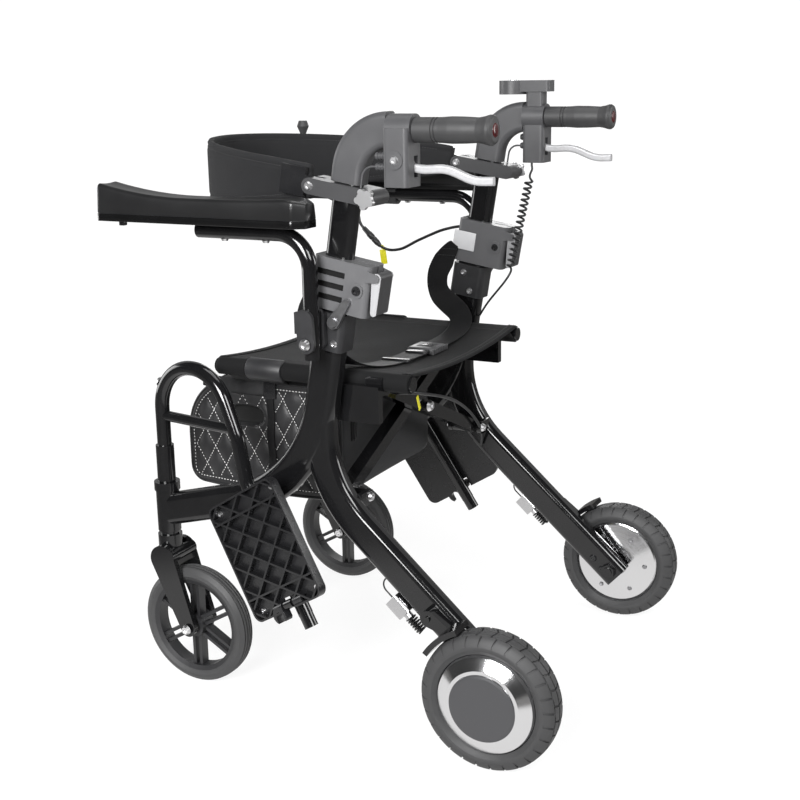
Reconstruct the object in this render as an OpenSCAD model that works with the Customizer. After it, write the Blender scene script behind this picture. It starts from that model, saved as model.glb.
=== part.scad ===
// Powered rollator that is also a transport chair. It folds side to side on a cross-brace.
// Millimetres. +Z is up, +X is the user's left and -Y the front, where the casters are.
// The origin is on the floor, under the middle of the chair.

/* [Overall] */
// Half the distance between the middles of the two side frames
frame_x = 240; // [234:1:260]
// Distance from the caster stem to the rear axle
stem_to_axle = 568; // [550:1:590]

/* [Side frame] */
// Width of the front leg and the post socket, seen from the side
leg_w = 50; // [49:1:54]
// Thickness of the front leg and the post socket
leg_t = 32; // [31:1:35]
// Corner radius of the front leg's section
leg_corner = 12; // [9:1:14]
// Width of the rear leg
rear_leg_w = 48; // [42:1:49]
// Thickness of the rear leg
rear_leg_t = 30; // [26:1:31]
// Height where the socket divides into the two legs
waist_z = 481; // [475:1:490]
// Distance from the caster stem back to the socket, at that height
stem_to_waist = 287; // [275:1:300]
// Backward lean of the sockets and handle posts, in degrees
post_lean = 9.5; // [8:0.5:11]
// Bend radius of the front leg
front_bend = 210; // [190:1:225]
// Bend radius of the rear leg
rear_bend = 185; // [165:1:200]
// Height of the middle of the head tube
head_mid_z = 278; // [270:1:286]
// Diameter of the head tube
head_d = 36; // [32:1:40]
// Length of the head tube
head_h = 66; // [60:1:72]
// Length of the socket above the waist
socket_h = 176; // [165:1:185]
// How far the rear leg runs past the axle
leg_tail = 18; // [14:1:22]

/* [Wheels] */
// Diameter of the rear tyres
rear_d = 200; // [190:1:210]
// Width of the rear tyres
rear_w = 50; // [46:1:54]
// Distance of the rear wheels' mid-plane from the middle of the side frame
rear_out = 48; // [46:1:54]
// Diameter of the hub motor's shell, where the rear tyre sits
hub_d = 146; // [140:1:150]
// Diameter of the flat cap on the hub motor
cap_d = 98; // [90:1:104]
// Diameter of the fixed motor axle
axle_d = 16; // [12:1:20]
// Diameter of the caster tyres
caster_d = 190; // [180:1:196]
// Width of the caster tyres
caster_w = 34; // [30:1:38]
// Diameter of the caster rim, where the tyre sits
caster_rim_d = 152; // [146:1:156]
// Distance that the caster wheel trails behind its stem
caster_trail = 46; // [40:1:50]
// Number of double spokes in a caster rim
caster_spokes = 6; // [5:1:7]
// Diameter of the caster stem
stem_d = 14; // [10:1:16]

/* [Handles] */
// Width of the oval handle post, seen from the side
post_w = 42; // [38:1:42]
// Thickness of the oval handle post
post_t = 25; // [22:1:25]
// Height of the handle grips' middle above the floor
grip_z = 861; // [850:1:890]
// Bend radius of the handle elbow
elbow_r = 62; // [56:1:68]
// Width of the elbow, seen from the side
elbow_w = 48; // [47:1:54]
// Thickness of the elbow
elbow_t = 31; // [30:1:34]
// Length of the brake housing along the handle
housing_l = 37; // [32:1:42]
// Length of a grip
grip_l = 112; // [104:1:120]
// Diameter of a grip
grip_d = 33; // [30:1:36]
// Diameter of the tube inside the grip
core_d = 22; // [20:1:24]
// How far the post reaches into its socket, above the waist
post_bottom = 66; // [64:1:72]

/* [Armrests] */
// Distance of an armrest's middle from the middle of the side frame
arm_out = 44; // [43:1:48]
// Diameter of the armrest tube
arm_tube_d = 22; // [20:1:23]
// Height of the armrest tube's level run
arm_z = 724; // [710:1:735]
// Width of the armrest pad
pad_w = 52; // [46:1:56]
// Length of the armrest pad
pad_l = 342; // [330:1:350]
// Height of the pad over its middle
pad_h = 36; // [30:1:42]
// How much higher the pad's front end is
pad_rise = 18; // [8:1:24]
// Height of the pivot on which the armrest turns up
arm_pivot_z = 576; // [570:1:584]
// Distance from that pivot forward to the front end of the pad
pad_ahead = 329; // [322:1:334]
// Gap between the front end of the right pad and the joystick box
joy_gap = 3; // [2:0.5:8]

/* [Backrest] */
// Distance of the backrest arm down the post from the elbow's bend
back_drop = 30.8; // [28:0.2:34]
// Distance from the post's middle forward to the backrest hinge
back_hinge = 50; // [47:1:54]
// Distance from the post's middle back to the star knob
back_knob = 41; // [39:1:44]
// Depth of the backrest band's curve
band_depth = 264; // [240:1:290]
// Height of the band in its middle
band_h = 100; // [90:1:110]
// Height of the band at its ends
band_end_h = 44; // [40:1:50]
// Thickness of the padded band
band_t = 12; // [10:1:14]

/* [Footrests] */
// Diameter of the footrest hanger tube
hanger_d = 22; // [20:1:22]
// Height of the hanger's arch
arch_z = 512; // [500:1:524]
// Angle between the stowed hanger and the side frame, in degrees
stow_angle = 10; // [10:0.5:13]
// Lean of the hanger's lower run, in degrees
foot_lean = 31; // [29:1:33]
// Length of the hanger's lower run
foot_run = 229; // [224:1:234]
// Length of the footplate
plate_l = 185; // [170:1:188]
// Width of the footplate
plate_w = 150; // [136:1:156]
// Thickness of the footplate with its ribs
plate_t = 14; // [12:1:15]
// Rows of diamonds in the footplate's ribs
rib_rows = 5; // [4:1:6]

/* [Seat and brace] */
// Half the distance between the seat rails
rail_x = 196; // [192:1:197]
// Height of the seat rails
rail_z = 507; // [503:1:512]
// Diameter of the seat rails
rail_d = 22; // [20:1:24]
// Length of the seat rails
rail_l = 332; // [320:1:344]
// Half the distance between the brace's lower pivots
brace_x = 205; // [202:1:206]
// Height of the brace's lower pivots
brace_z = 335; // [330:1:342]
// Width of a brace bar, front to back
bar_w = 20; // [18:1:21]
// Depth of a brace bar
bar_t = 20; // [16:1:22]
// Sag of the seat fabric between the rails
seat_sag = 13; // [8:1:18]
// Thickness of the seat fabric
seat_t = 2.4; // [2:0.1:3]

/* [Bag and battery] */
// Width of the bag under the seat
bag_w = 300; // [270:1:320]
// Length of the bag, front to back
bag_l = 287; // [270:1:294]
// Height of the bag
bag_h = 180; // [160:1:186]
// Thickness of the bag's padded wall
bag_wall = 5; // [4:1:7]

/* [Controls] */
// Diameter of the control pod's disc
pod_d = 46; // [42:1:50]
// Diameter of a wire of the curly cord
cord_d = 3.6; // [3:0.1:4]
// Number of curls in the curly cord
cord_curls = 17; // [14:1:18]
// Outer diameter of the curly cord
curl_d = 15; // [13:1:16]

/* [Clearances] */
// Gap round a turning pin or shaft
pin_gap = 0.3; // [0.2:0.05:0.4]
// Gap round the sliding post
post_gap = 0.4; // [0.3:0.05:0.5]
// Gap between pieces that are fixed to each other
seat_gap = 0.1; // [0.05:0.05:0.2]

/* [Hidden] */
$fn = 64;
pairs = ["side_frame", "post_clamp", "clamp_lever", "armrest_bracket", "armrest_tube", "armrest_pad",
    "armrest_lever", "handle_post", "handle_elbow", "grip", "brake_housing", "brake_lever",
    "backrest_arm", "backrest_plate", "footrest_hanger", "footplate", "caster_fork", "caster_rim",
    "caster_tyre", "hub_motor", "rear_tyre", "brake_shoe", "brake_adjuster"];
singles = ["brace_a", "brace_b", "seat_sling", "seat_belt", "backrest_band", "bag", "battery",
    "control_pod", "control_button", "joystick_box", "joystick_gimbal", "joystick_stick", "coil_cord",
    "joystick_cable"];

frame_black = "#141416";
grey_plastic = "#4a4c50";
dark_plastic = "#2a2b2e";
rubber = "#232427";
silver = "#c9cbce";
fabric = "#1b1b1e";

// Stations along the chair
// The rear axle's distance from the front of the joystick box puts the origin under the middle of the chair
joy_half = 27;
joy_ahead = pad_ahead + joy_gap + joy_half;
reach = stem_to_axle - stem_to_waist - tan(post_lean) * (arm_pivot_z - waist_z) + 4 + joy_ahead + joy_half;
axle_y = (reach - rear_d / 2) / 2;
axle_z = rear_d / 2;
stem_y = axle_y - stem_to_axle;
waist_y = stem_y + stem_to_waist;
wheel_y = stem_y + caster_trail;
arm_x = frame_x + arm_out;
rear_x = frame_x + rear_out;
pad_x = arm_x - arm_tube_d / 2 + pad_w / 2 + 1;

// Tangent from a bend to a point: the turn of the bend, and the straight run after it
function run_after(r, along, down) = sqrt(pow(along - r, 2) + pow(down, 2) - r * r);
function turn_to(r, along, down) = atan2(run_after(r, along, down), -r) - atan2(down, along - r);
function post_y(z) = waist_y + tan(post_lean) * (z - waist_z);

front_along = stem_to_waist * cos(post_lean) + (head_mid_z - waist_z) * sin(post_lean);
front_down = stem_to_waist * sin(post_lean) - (head_mid_z - waist_z) * cos(post_lean);
rear_drop = 12;
rear_along = (axle_y - waist_y) * cos(post_lean) - (axle_z - waist_z) * sin(post_lean);
rear_down = -(axle_y - waist_y) * sin(post_lean) - (axle_z - waist_z) * cos(post_lean) - rear_drop;
rear_turn = turn_to(rear_bend, rear_along, rear_down);
rear_run = run_after(rear_bend, rear_along, rear_down);
leg_slope = 90 + post_lean - rear_turn;

// Clamp and armrest bracket, measured up the post from the waist
clamp_h = 72;
clamp_low = 140;
clamp_front = 30;
clamp_back = 60;
clamp_half = 22;
bracket_low = 82;
bracket_h = 54;
bracket_half_y = 29;
arm_y = post_y(arm_pivot_z) - 4;
arm_bend = 48;
arm_run = 132;
arm_front = arm_y - arm_bend - arm_run;

// Handle
elbow_corner = (grip_z - waist_z) / cos(post_lean);
elbow_turn = 90 - post_lean;
elbow_run = elbow_r * tan(elbow_turn / 2);
elbow_low = elbow_corner - elbow_run;
elbow_skirt = 18;
elbow_end_y = waist_y + elbow_corner * sin(post_lean) + elbow_run;
housing_y = elbow_end_y + seat_gap;
grip_y = housing_y + housing_l + seat_gap;
lever_y = housing_y + housing_l - 12;
lever_z = grip_z - 47;
housing_z = grip_z - 73;

// Backrest
back_d = elbow_low - back_drop;
band_y = post_y(waist_z + back_d * cos(post_lean)) - back_hinge - 38;
band_z = waist_z + back_d * cos(post_lean) + back_hinge * sin(post_lean) + 4;
plate_half = 4;

// Footrest, in the hanger's own plane: distance from the stem, and height
sleeve_low = head_mid_z + head_h / 2 + 14;
sleeve_h = 58;
hanger_bend = 70;
arch_run = hanger_bend * tan((90 - 25) / 2);
hip = [hanger_bend + arch_run + 44, arch_z - 94];
knee = [hip[0] + 14, arch_z - 162];
foot_end = knee + foot_run * [sin(foot_lean), -cos(foot_lean)];
stub_l = 20;
plate_low = 36;
plate_pin_up = 44;
plate_out = hanger_d / 2 + 2;
lug_half = 8;

// Brace
brace_y = waist_y + 24;
bar_gap = 4;
bar_a_y = brace_y - bar_gap / 2 - bar_w;
bar_b_y = brace_y + bar_gap / 2;
bar_angle = atan((rail_z - brace_z) / (rail_x + brace_x));
bar_l = norm([rail_x + brace_x, rail_z - brace_z]);
cross_z = brace_z + brace_x * tan(bar_angle);
rail_y = stem_y + 78;
sleeve_wall = 4;
brace_pin_d = 12;
lug_t = 7;

// Soft pieces
bag_y = brace_y - 46 - bag_l;
bag_z = rail_z - 30 - bag_h;
seat_gap_soft = 0.3;

// A straight run is a hair slimmer than a bend, and laps into it, so that the two make one solid
$slim = 0.997;
lap = 1;

// Straight and bent runs of one section, drawn one after another. The heading is +Z, and a bend of a
// positive radius turns towards +X. The child is the section, with X in the plane of the bends.
module run(steps, i = 0) {
    if (i < len(steps)) {
        step = steps[i];
        if (step[0] == "go") {
            before = i > 0 ? lap : 0;
            after = i < len(steps) - 1 ? lap : 0;
            translate([0, 0, -before]) linear_extrude(step[1] + before + after)
                scale([$slim, $slim, $slim]) children();
            translate([0, 0, step[1]]) run(steps, i + 1) children();
        } else {
            way = sign(step[1]);
            r = abs(step[1]);
            mirror([way < 0 ? 1 : 0, 0, 0])
                translate([r, 0, 0]) rotate([90, 0, 180])
                    rotate_extrude(angle = step[2]) translate([r, 0]) children();
            translate([way * r, 0, 0]) rotate([0, way * step[2], 0]) translate([-way * r, 0, 0])
                run(steps, i + 1) children();
        }
    }
}

// Rounded oblong section
module rounded(w, h, r) {
    square([w - 2 * r, h], center = true);
    square([w, h - 2 * r], center = true);
    for (x = [-1, 1], y = [-1, 1]) translate([x * (w / 2 - r), y * (h / 2 - r)]) circle(r);
}

// Section with two half-round edges
module oval(w, h) {
    square([w, h - w], center = true);
    for (y = [-1, 1]) translate([0, y * (h - w) / 2]) circle(d = w);
}

// Rod along X between two values of x
module rod_x(x0, x1, y, z, d) {
    translate([x0, y, z]) rotate([0, 90, 0]) cylinder(d = d, h = x1 - x0);
}

// Rod along Y between two values of y
module rod_y(x, y0, y1, z, d) {
    translate([x, y0, z]) rotate([-90, 0, 0]) cylinder(d = d, h = y1 - y0);
}

// Flat link in the YZ plane between two round ends, extruded along X
module link_x(x0, x1, a, d_a, b, d_b) {
    along = (b - a) / norm(b - a);
    across = [-along[1], along[0]];
    translate([x0, 0, 0]) rotate([90, 0, 90]) linear_extrude(x1 - x0) {
        translate(a) circle(d = d_a);
        translate(b) circle(d = d_b);
        polygon([a + across * d_a / 2, a - across * d_a / 2, b - across * d_b / 2, b + across * d_b / 2]);
    }
}

// Solid through a list of rings of equal count, closed at both ends
module loft(rings) {
    n = len(rings[0]);
    last = len(rings) - 1;
    middle = function (ring) [for (k = [0:2]) [for (p = ring) p[k]] * [for (p = ring) 1 / n]];
    points = concat([for (ring = rings) each ring], [middle(rings[0]), middle(rings[last])]);
    low = n * len(rings);
    sides = [for (i = [0:last - 1], j = [0:n - 1])
        let (a = i * n + j, b = i * n + (j + 1) % n)
        each [[a, a + n, b + n], [a, b + n, b]]];
    ends = [for (j = [0:n - 1])
        let (k = (j + 1) % n)
        each [[low, j, k], [low + 1, last * n + k, last * n + j]]];
    polyhedron(concat(sides, ends) == [] ? [] : points, concat(sides, ends));
}

// Points along a smooth curve through a hand-chosen route
function between(a, b, c, d, t) = b + 0.5 * t * ((c - a) + t * ((2 * a - 5 * b + 4 * c - d)
    + t * (3 * (b - c) + d - a)));
function smooth(route, steps) = [for (i = [0:len(route) - 2], k = [0:steps - 1])
    between(route[max(i - 1, 0)], route[i], route[i + 1], route[min(i + 2, len(route) - 1)], k / steps),
    route[len(route) - 1]];

// Rings of a round wire round a list of points. The first side of each ring faces the given way.
function unit(v) = v / norm(v);
function wire_ring(p, ahead, way, d, sides) =
    let (t = unit(ahead), u = unit(way - (way * t) * t), v = cross(t, u))
    [for (j = [0:sides - 1]) p + d / 2 * (cos(360 * j / sides) * u + sin(360 * j / sides) * v)];
function wire(path, way, d, sides) = [for (i = [0:len(path) - 1])
    wire_ring(path[i], path[min(i + 1, len(path) - 1)] - path[max(i - 1, 0)], way, d, sides)];

// Path of a coil round a straight axis from a to b
function coil_path(a, b, r, curls, per_curl) =
    let (t = unit(b - a), u = unit(cross(t, [0.3, 1, 0.2])), v = cross(t, u), n = curls * per_curl)
    [for (i = [0:n]) a + (b - a) * i / n + r * (cos(360 * i / per_curl) * u + sin(360 * i / per_curl) * v)];
function coil_gap(path, per_curl, d) = min([for (i = [0:len(path) - 1 - per_curl], k = [-1:1])
    norm(path[i + per_curl + min(k, len(path) - 1 - i - per_curl)] - path[i])]) - d;

// A piece of the left side, or its mirror image on the right
module on_side(name) {
    children();
    mirror([1, 0, 0]) children();
}

// The post's own frame: +Z runs up the left post from the waist, +Y is its back
module post_frame() {
    translate([frame_x, waist_y, waist_z]) rotate([-post_lean, 0, 0]) children();
}

// The stowed hanger's own frame: +X runs away from the stem, +Y up and +Z to the outside
module hanger_frame() {
    translate([frame_x, stem_y, 0]) rotate([0, 0, 90 - stow_angle]) rotate([90, 0, 0]) children();
}

// The footplate's own frame: +X runs across the plate, +Y up it from the tube's end, -Z to the outside
module plate_frame() {
    hanger_frame() translate([foot_end[0], foot_end[1], 0]) rotate([0, 0, foot_lean]) mirror([0, 0, 1]) children();
}

// Side frame: post socket, front leg with head tube, rear leg with the motor axle, brace lugs and saddle
module side_frame() {
    color(frame_black) difference() {
        union() {
            post_frame() {
                linear_extrude(socket_h) rounded(leg_t, leg_w, leg_corner);
                rotate([180, 0, -90])
                    run([["bend", front_bend, turn_to(front_bend, front_along, front_down)],
                        ["go", run_after(front_bend, front_along, front_down)]])
                        rounded(leg_w, leg_t, leg_corner);
                translate([0, 0, -rear_drop]) rotate([180, 0, 90])
                    run([["bend", rear_bend, rear_turn], ["go", rear_run + leg_tail]])
                        rounded(rear_leg_w, rear_leg_t, leg_corner - 1);
            }
            head_tube();
            rod_x(frame_x, rear_x - rear_w / 2 + 13, shoe_pivot()[0], shoe_pivot()[1], 8);
            brace_lugs();
            saddle();
        }
        post_frame() linear_extrude(socket_h + 1) oval(post_t + 2 * post_gap, post_w + 2 * post_gap);
        translate([frame_x, stem_y, head_mid_z - head_h / 2 - 1])
            cylinder(d = stem_d + 2 * pin_gap, h = head_h - 8);
        rod_x(frame_x - rear_leg_t, frame_x + rear_leg_t, axle_y, axle_z, axle_d + 2 * seat_gap);
    }
    color(silver) motor_axle();
}

// Head tube with its top collar and the spigot that carries the footrest hanger
module head_tube() {
    top = head_mid_z + head_h / 2;
    translate([frame_x, stem_y, 0]) {
        translate([0, 0, head_mid_z - head_h / 2]) cylinder(d = head_d, h = head_h);
        translate([0, 0, top]) cylinder(d = head_d + 4, h = sleeve_low - top - pin_gap);
        translate([0, 0, top]) cylinder(d = hanger_d - 6, h = sleeve_low - top + sleeve_h - 8);
    }
}

// Two lugs and a pin, on which the brace's lower end turns
module brace_lugs() {
    span = 2 * bar_w + bar_gap + 2 * pin_gap + 3;
    for (y = [brace_y - span / 2 - lug_t, brace_y + span / 2]) {
        rod_y(brace_x, y, y + lug_t, brace_z, brace_pin_d + 10);
        translate([brace_x, y, brace_z - 11]) cube([frame_x - brace_x - 8, lug_t, 22]);
    }
    rod_y(brace_x, brace_y - span / 2 - 1, brace_y + span / 2 + 1, brace_z, brace_pin_d);
}

// Plate on the inside of the socket, with the cup in which the seat rail rests
module saddle() {
    cup_d = rail_d + 2 * seat_t + 4 * seat_gap_soft;
    cup_y = brace_y + bar_gap / 2 + bar_w + 9;
    cup_l = 26;
    plate_in = rail_x + cup_d / 2 + 1;
    difference() {
        union() {
            translate([plate_in, waist_y - 4, rail_z - 56]) cube([frame_x - plate_in - 8, 24, 40]);
            translate([plate_in, waist_y + 10, rail_z - 56])
                cube([frame_x - leg_t / 2 - plate_in, cup_y + cup_l - waist_y - 10, 54]);
            rod_y(rail_x, cup_y, cup_y + cup_l, rail_z, cup_d + 8);
            translate([rail_x, cup_y, rail_z - cup_d / 2 - 4]) cube([plate_in - rail_x + 2, cup_l, 14]);
        }
        rod_y(rail_x, cup_y - 1, cup_y + cup_l + 1, rail_z, cup_d);
        translate([rail_x - cup_d, cup_y - 1, rail_z - 2]) cube([plate_in - rail_x + cup_d, cup_l + 2, cup_d]);
    }
}

// Fixed axle of the hub motor, keyed in the leg, with its nut on the inside
module motor_axle() {
    inner = frame_x - rear_leg_t / 2;
    rod_x(inner - 10, rear_x + rear_w / 2 - 8, axle_y, axle_z, axle_d);
    translate([inner - 8 - seat_gap, axle_y, axle_z]) rotate([0, 90, 0]) cylinder(d = axle_d + 10, h = 8, $fn = 6);
}

// Housing that clamps the post: it sits on the socket, with three slots on its outer face
module post_clamp() {
    slot_pitch = 17;
    color(grey_plastic) post_frame() difference() {
        union() {
            translate([0, (clamp_back - clamp_front) / 2, clamp_low])
                linear_extrude(clamp_h) rounded(2 * clamp_half, clamp_front + clamp_back, 9);
            translate([0, clamp_back - 17, clamp_low + clamp_h / 2])
                rod_x(-clamp_half - 2, clamp_half + 2, 0, 0, 20);
        }
        translate([0, 0, clamp_low - 1]) linear_extrude(socket_h - clamp_low + 1 + seat_gap)
            rounded(leg_t + 2 * seat_gap, leg_w + 2 * seat_gap, leg_corner);
        translate([0, 0, clamp_low]) linear_extrude(clamp_h + 1)
            oval(post_t + 2 * post_gap, post_w + 2 * post_gap);
        for (k = [0:2]) translate([clamp_half - 3, -clamp_front + 6, clamp_low + 14 + k * slot_pitch])
            cube([4, clamp_front + 16, 8]);
        translate([-2, clamp_w_slot(), clamp_low - 1]) cube([4, clamp_back, clamp_h + 2]);
    }
}
function clamp_w_slot() = leg_w / 2 + 2;

// Lever that closes the post clamp, along the clamp's back
module clamp_lever() {
    pivot = [clamp_back + 8, clamp_low + clamp_h - 14];
    tip = [clamp_back + 10, clamp_low + 10];
    color(silver) post_frame() difference() {
        union() {
            link_x(-clamp_half + 4, clamp_half - 4, pivot, 14, tip, 9);
        }
        rod_x(-clamp_half, clamp_half, pivot[0], pivot[1], 5 + 2 * pin_gap);
    }
}

// Ears behind the clamp that hold the lever's pin
module clamp_ears() {
    pivot = [clamp_back + 8, clamp_low + clamp_h - 14];
    for (x = [-clamp_half, clamp_half - 4 + pin_gap])
        link_x(x, x + 4 - pin_gap, pivot, 11, [clamp_back - 4, pivot[1]], 16);
    rod_x(-clamp_half + 1, clamp_half - 1, pivot[0], pivot[1], 5);
}

// Sleeve bracket on the socket, with the fork in which the armrest tube turns up
module armrest_bracket() {
    cheek_t = 6;
    gap = arm_tube_d / 2 + 0.6;
    low = arm_pivot_z - 14;
    color(dark_plastic) difference() {
        union() {
            post_frame() translate([0, 0, bracket_low])
                linear_extrude(bracket_h) rounded(2 * clamp_half, 2 * bracket_half_y, 9);
            for (x = [arm_x - gap - cheek_t, arm_x + gap])
                link_x(x, x + cheek_t, [arm_y, arm_pivot_z], 26, [arm_y - 2, arm_pivot_z + 34], 26);
            translate([arm_x - gap - cheek_t, arm_y - arm_tube_d / 2 - 6, arm_pivot_z + 14])
                cube([2 * (gap + cheek_t), 6 - seat_gap_soft, 30]);
            translate([frame_x + clamp_half - 3, arm_y - 12, arm_pivot_z - 6])
                cube([arm_x - gap - frame_x - clamp_half + 1, 24, 44]);
            rod_x(arm_x - gap - 1, arm_x + gap + cheek_t + 2.5, arm_y, arm_pivot_z, 8);
        }
        post_frame() translate([0, 0, bracket_low - 1])
            linear_extrude(bracket_h + 2) rounded(leg_t + 2 * seat_gap, leg_w + 2 * seat_gap, leg_corner);
    }
}

// Armrest tube: it stands on its pivot, bends and runs forward under the pad
module armrest_tube() {
    tail = 24;
    color(frame_black) difference() {
        translate([arm_x, arm_y, arm_pivot_z - tail]) rotate([0, 0, -90])
            run([["go", arm_z - arm_pivot_z + tail - arm_bend], ["bend", arm_bend, 90], ["go", arm_run]])
                circle(d = arm_tube_d);
        rod_x(arm_x - arm_tube_d, arm_x + arm_tube_d, arm_y, arm_pivot_z, 8 + 2 * pin_gap);
    }
}

// Moulded armrest pad on its tray, with a hollow along the top and a raised front
module armrest_pad() {
    rings = 15;
    front = arm_y - pad_ahead;
    low = arm_z + arm_tube_d / 2 + seat_gap;
    top = function (t) pad_h + pad_rise * pow(max(0, 1 - 2.2 * t), 2) + 5 * pow(max(0, 2.6 * t - 1.6), 2);
    nose = function (t) min(1, sqrt(max(0.04, 1 - pow(1 - min(t, 1 - t) / 0.06, 2))));
    section = function (t)
        let (h = top(t), w = pad_w / 2 * (t < 0.06 || t > 0.94 ? 0.62 + 0.38 * nose(t) : 1))
        [for (p = [[-0.8, 0], [0.8, 0], [0.86, 8], [1, 11], [1, h - 9], [0.93, h - 2], [0.78, h],
            [0.4, h - 3], [0, h - 4], [-0.4, h - 3], [-0.78, h], [-0.93, h - 2], [-1, h - 9], [-1, 11],
            [-0.86, 8]]) [p[0] * w, p[1]]];
    stations = [for (i = [0:rings]) let (s = i / rings) s - 0.12 * sin(360 * s) / 2];
    color(fabric) loft([for (t = stations)
        [for (p = section(t)) [pad_x - p[0], front + t * pad_l, low + p[1]]]]);
}

// Cam lever on the bracket, which locks the armrest
module armrest_lever() {
    x0 = frame_x + clamp_half + seat_gap_soft;
    hub = [arm_y + 24, arm_pivot_z + 26];
    tip = hub + [21, 29];
    color(grey_plastic) {
        link_x(x0, x0 + 6, hub, 18, tip, 11);
        link_x(x0 + 6 - 0.01, x0 + 9, hub, 12, hub + [1, 1], 12);
    }
}

// Oval post that slides in the socket
module handle_post() {
    color(frame_black) post_frame() translate([0, 0, post_bottom])
        linear_extrude(elbow_low - 2 - post_bottom) oval(post_t, post_w);
}

// Elbow on top of the post, with the tube that carries the brake housing and the grip
module handle_elbow() {
    color(dark_plastic) {
        difference() {
            post_frame() translate([0, 0, elbow_low - elbow_skirt]) rotate([0, 0, 90])
                run([["go", elbow_skirt], ["bend", elbow_r, elbow_turn]])
                    rounded(elbow_w, elbow_t, 9);
            post_frame() translate([0, 0, elbow_low - elbow_skirt - 1]) linear_extrude(elbow_skirt)
                oval(post_t + 2 * seat_gap, post_w + 2 * seat_gap);
        }
        rod_y(frame_x, elbow_end_y - 2, grip_y + grip_l - 9, grip_z, core_d);
    }
}

// Rubber grip with ring grooves at its start, a palm swell and a flared end
module grip() {
    r = grip_d / 2;
    bore = core_d / 2 + seat_gap;
    ring = function (y) [[r, y], [r - 1.4, y + 0.8], [r - 1.4, y + 2.2], [r, y + 3]];
    color(rubber) translate([frame_x, grip_y, grip_z]) rotate([-90, 0, 0]) rotate_extrude()
        polygon(concat([[0, grip_l - 8], [bore, grip_l - 8], [bore, 0], [r - 1, 0], [r, 1]],
            ring(27), ring(31.5),
            [[r, 38], [r + 0.9, 52], [r + 0.6, 70], [r - 0.4, grip_l - 22], [r + 1, grip_l - 14],
            [r + 3, grip_l - 7], [r + 3, grip_l - 4], [r + 1, grip_l - 1], [r - 2, grip_l], [0, grip_l]]));
}

// Brake housing clamped on the handle tube, with two cable barrels and the lever's pin
module brake_housing() {
    half = 17;
    outer = 26;
    barrel_x = frame_x + elbow_t / 2 - 0.5;
    barrels = [grip_z - 33, grip_z - 47];
    color(grey_plastic) difference() {
        union() {
            rod_y(frame_x, housing_y, housing_y + housing_l, grip_z, 42);
            translate([frame_x + (outer - half) / 2, housing_y + housing_l / 2, housing_z])
                linear_extrude(grip_z - housing_z + 3) rounded(half + outer, housing_l - 0.4, 6);
            rod_x(frame_x + outer - 1, frame_x + outer + 1.6, housing_y + housing_l / 2, grip_z - 38, 24);
            for (z = barrels) {
                rod_y(barrel_x, housing_y - 14, housing_y + 1, z, 9);
                for (k = [0:2]) rod_y(barrel_x, housing_y - 12 + 4 * k, housing_y - 10 + 4 * k, z, 10.4);
            }
        }
        rod_y(frame_x, housing_y - 1, housing_y + housing_l + 1, grip_z, core_d + 2 * seat_gap);
        translate([frame_x - 6, lever_y - 14, lever_z - 14]) cube([12, 40, 28]);
    }
    color(grey_plastic) rod_x(frame_x - 7, frame_x + 7, lever_y, lever_z, 6);
    color(rubber) translate([barrel_x, housing_y - 10, barrels[1]]) rotate([90, 0, 0]) rotate([0, 0, -90])
        run(brake_cable(housing_y - 10, barrels[1]), $slim = 0.94) circle(d = 3);
}
// Brake cable from the barrel's end at y, z: forward, down through a bend, and square on to the backrest arm
function brake_cable(y, z) =
    let (r = 16, out = 10, turn = 90 - post_lean, end_y = y - out - r * sin(turn), end_z = z - r * (1 - cos(turn)),
        up = (end_y - waist_y) * sin(post_lean) + (end_z - waist_z) * cos(post_lean) - back_d - 11)
    [["go", out], ["bend", r, turn], ["go", up - seat_gap_soft]];

// Brake lever: a wavy silver bar under the grip
module brake_lever() {
    color(silver) difference() {
        translate([frame_x, lever_y, lever_z]) {
            rod_x(-5.5, 5.5, 0, 0, 18);
            rotate([-100, 0, 0]) rotate([0, 0, 90])
                run([["go", 16], ["bend", -60, 14], ["go", 12], ["bend", 60, 26], ["go", 16],
                    ["bend", -60, 24], ["go", 14]])
                    rounded(11.4, 9, 3);
        }
        rod_x(frame_x - 8, frame_x + 8, lever_y, lever_z, 6 + 2 * pin_gap);
    }
}

// Fork clamped round the post: it carries the backrest hinge in front and the star knob behind
module backrest_arm() {
    h = 22;
    lobes = 5;
    knob_x = clamp_half + 0.5;
    color(grey_plastic) post_frame() translate([0, 0, back_d]) difference() {
        union() {
            translate([-clamp_half, -back_hinge, -h / 2]) cube([2 * clamp_half, back_hinge + back_knob, h]);
            for (y = [-back_hinge, back_knob]) rod_x(-clamp_half, clamp_half, y, 0, h);
        }
        translate([0, 0, -h]) linear_extrude(2 * h) oval(post_t + 2 * seat_gap, post_w + 2 * seat_gap);
        translate([-plate_half - 0.5, -back_hinge - h, -h]) cube([2 * plate_half + 1, h + 13, 2 * h]);
    }
    color(grey_plastic) post_frame() rod_x(-plate_half - 2, plate_half + 2, -back_hinge, back_d, 8);
    color(silver) post_frame() translate([knob_x, back_knob, back_d]) rotate([0, 90, 0]) {
        cylinder(d = 14, h = 2.5);
        translate([0, 0, 2]) linear_extrude(7) {
            circle(d = 22);
            for (k = [0:lobes - 1]) rotate(360 * k / lobes) translate([10, 0]) circle(d = 9);
        }
    }
}

// Plate between the hinge and the end of the backrest band
module backrest_plate() {
    tongue = 19;
    color(dark_plastic) post_frame() translate([0, -back_hinge, back_d]) difference() {
        union() {
            rod_x(-plate_half, plate_half, 0, 0, tongue);
            translate([-plate_half, -20, -tongue / 2]) cube([2 * plate_half, 20, tongue]);
            translate([-plate_half, -56, -band_end_h / 2 + 2]) cube([2 * plate_half, 39, band_end_h - 4]);
        }
        rod_x(-plate_half - 1, plate_half + 1, 0, 0, 8 + 2 * pin_gap);
    }
}

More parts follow.
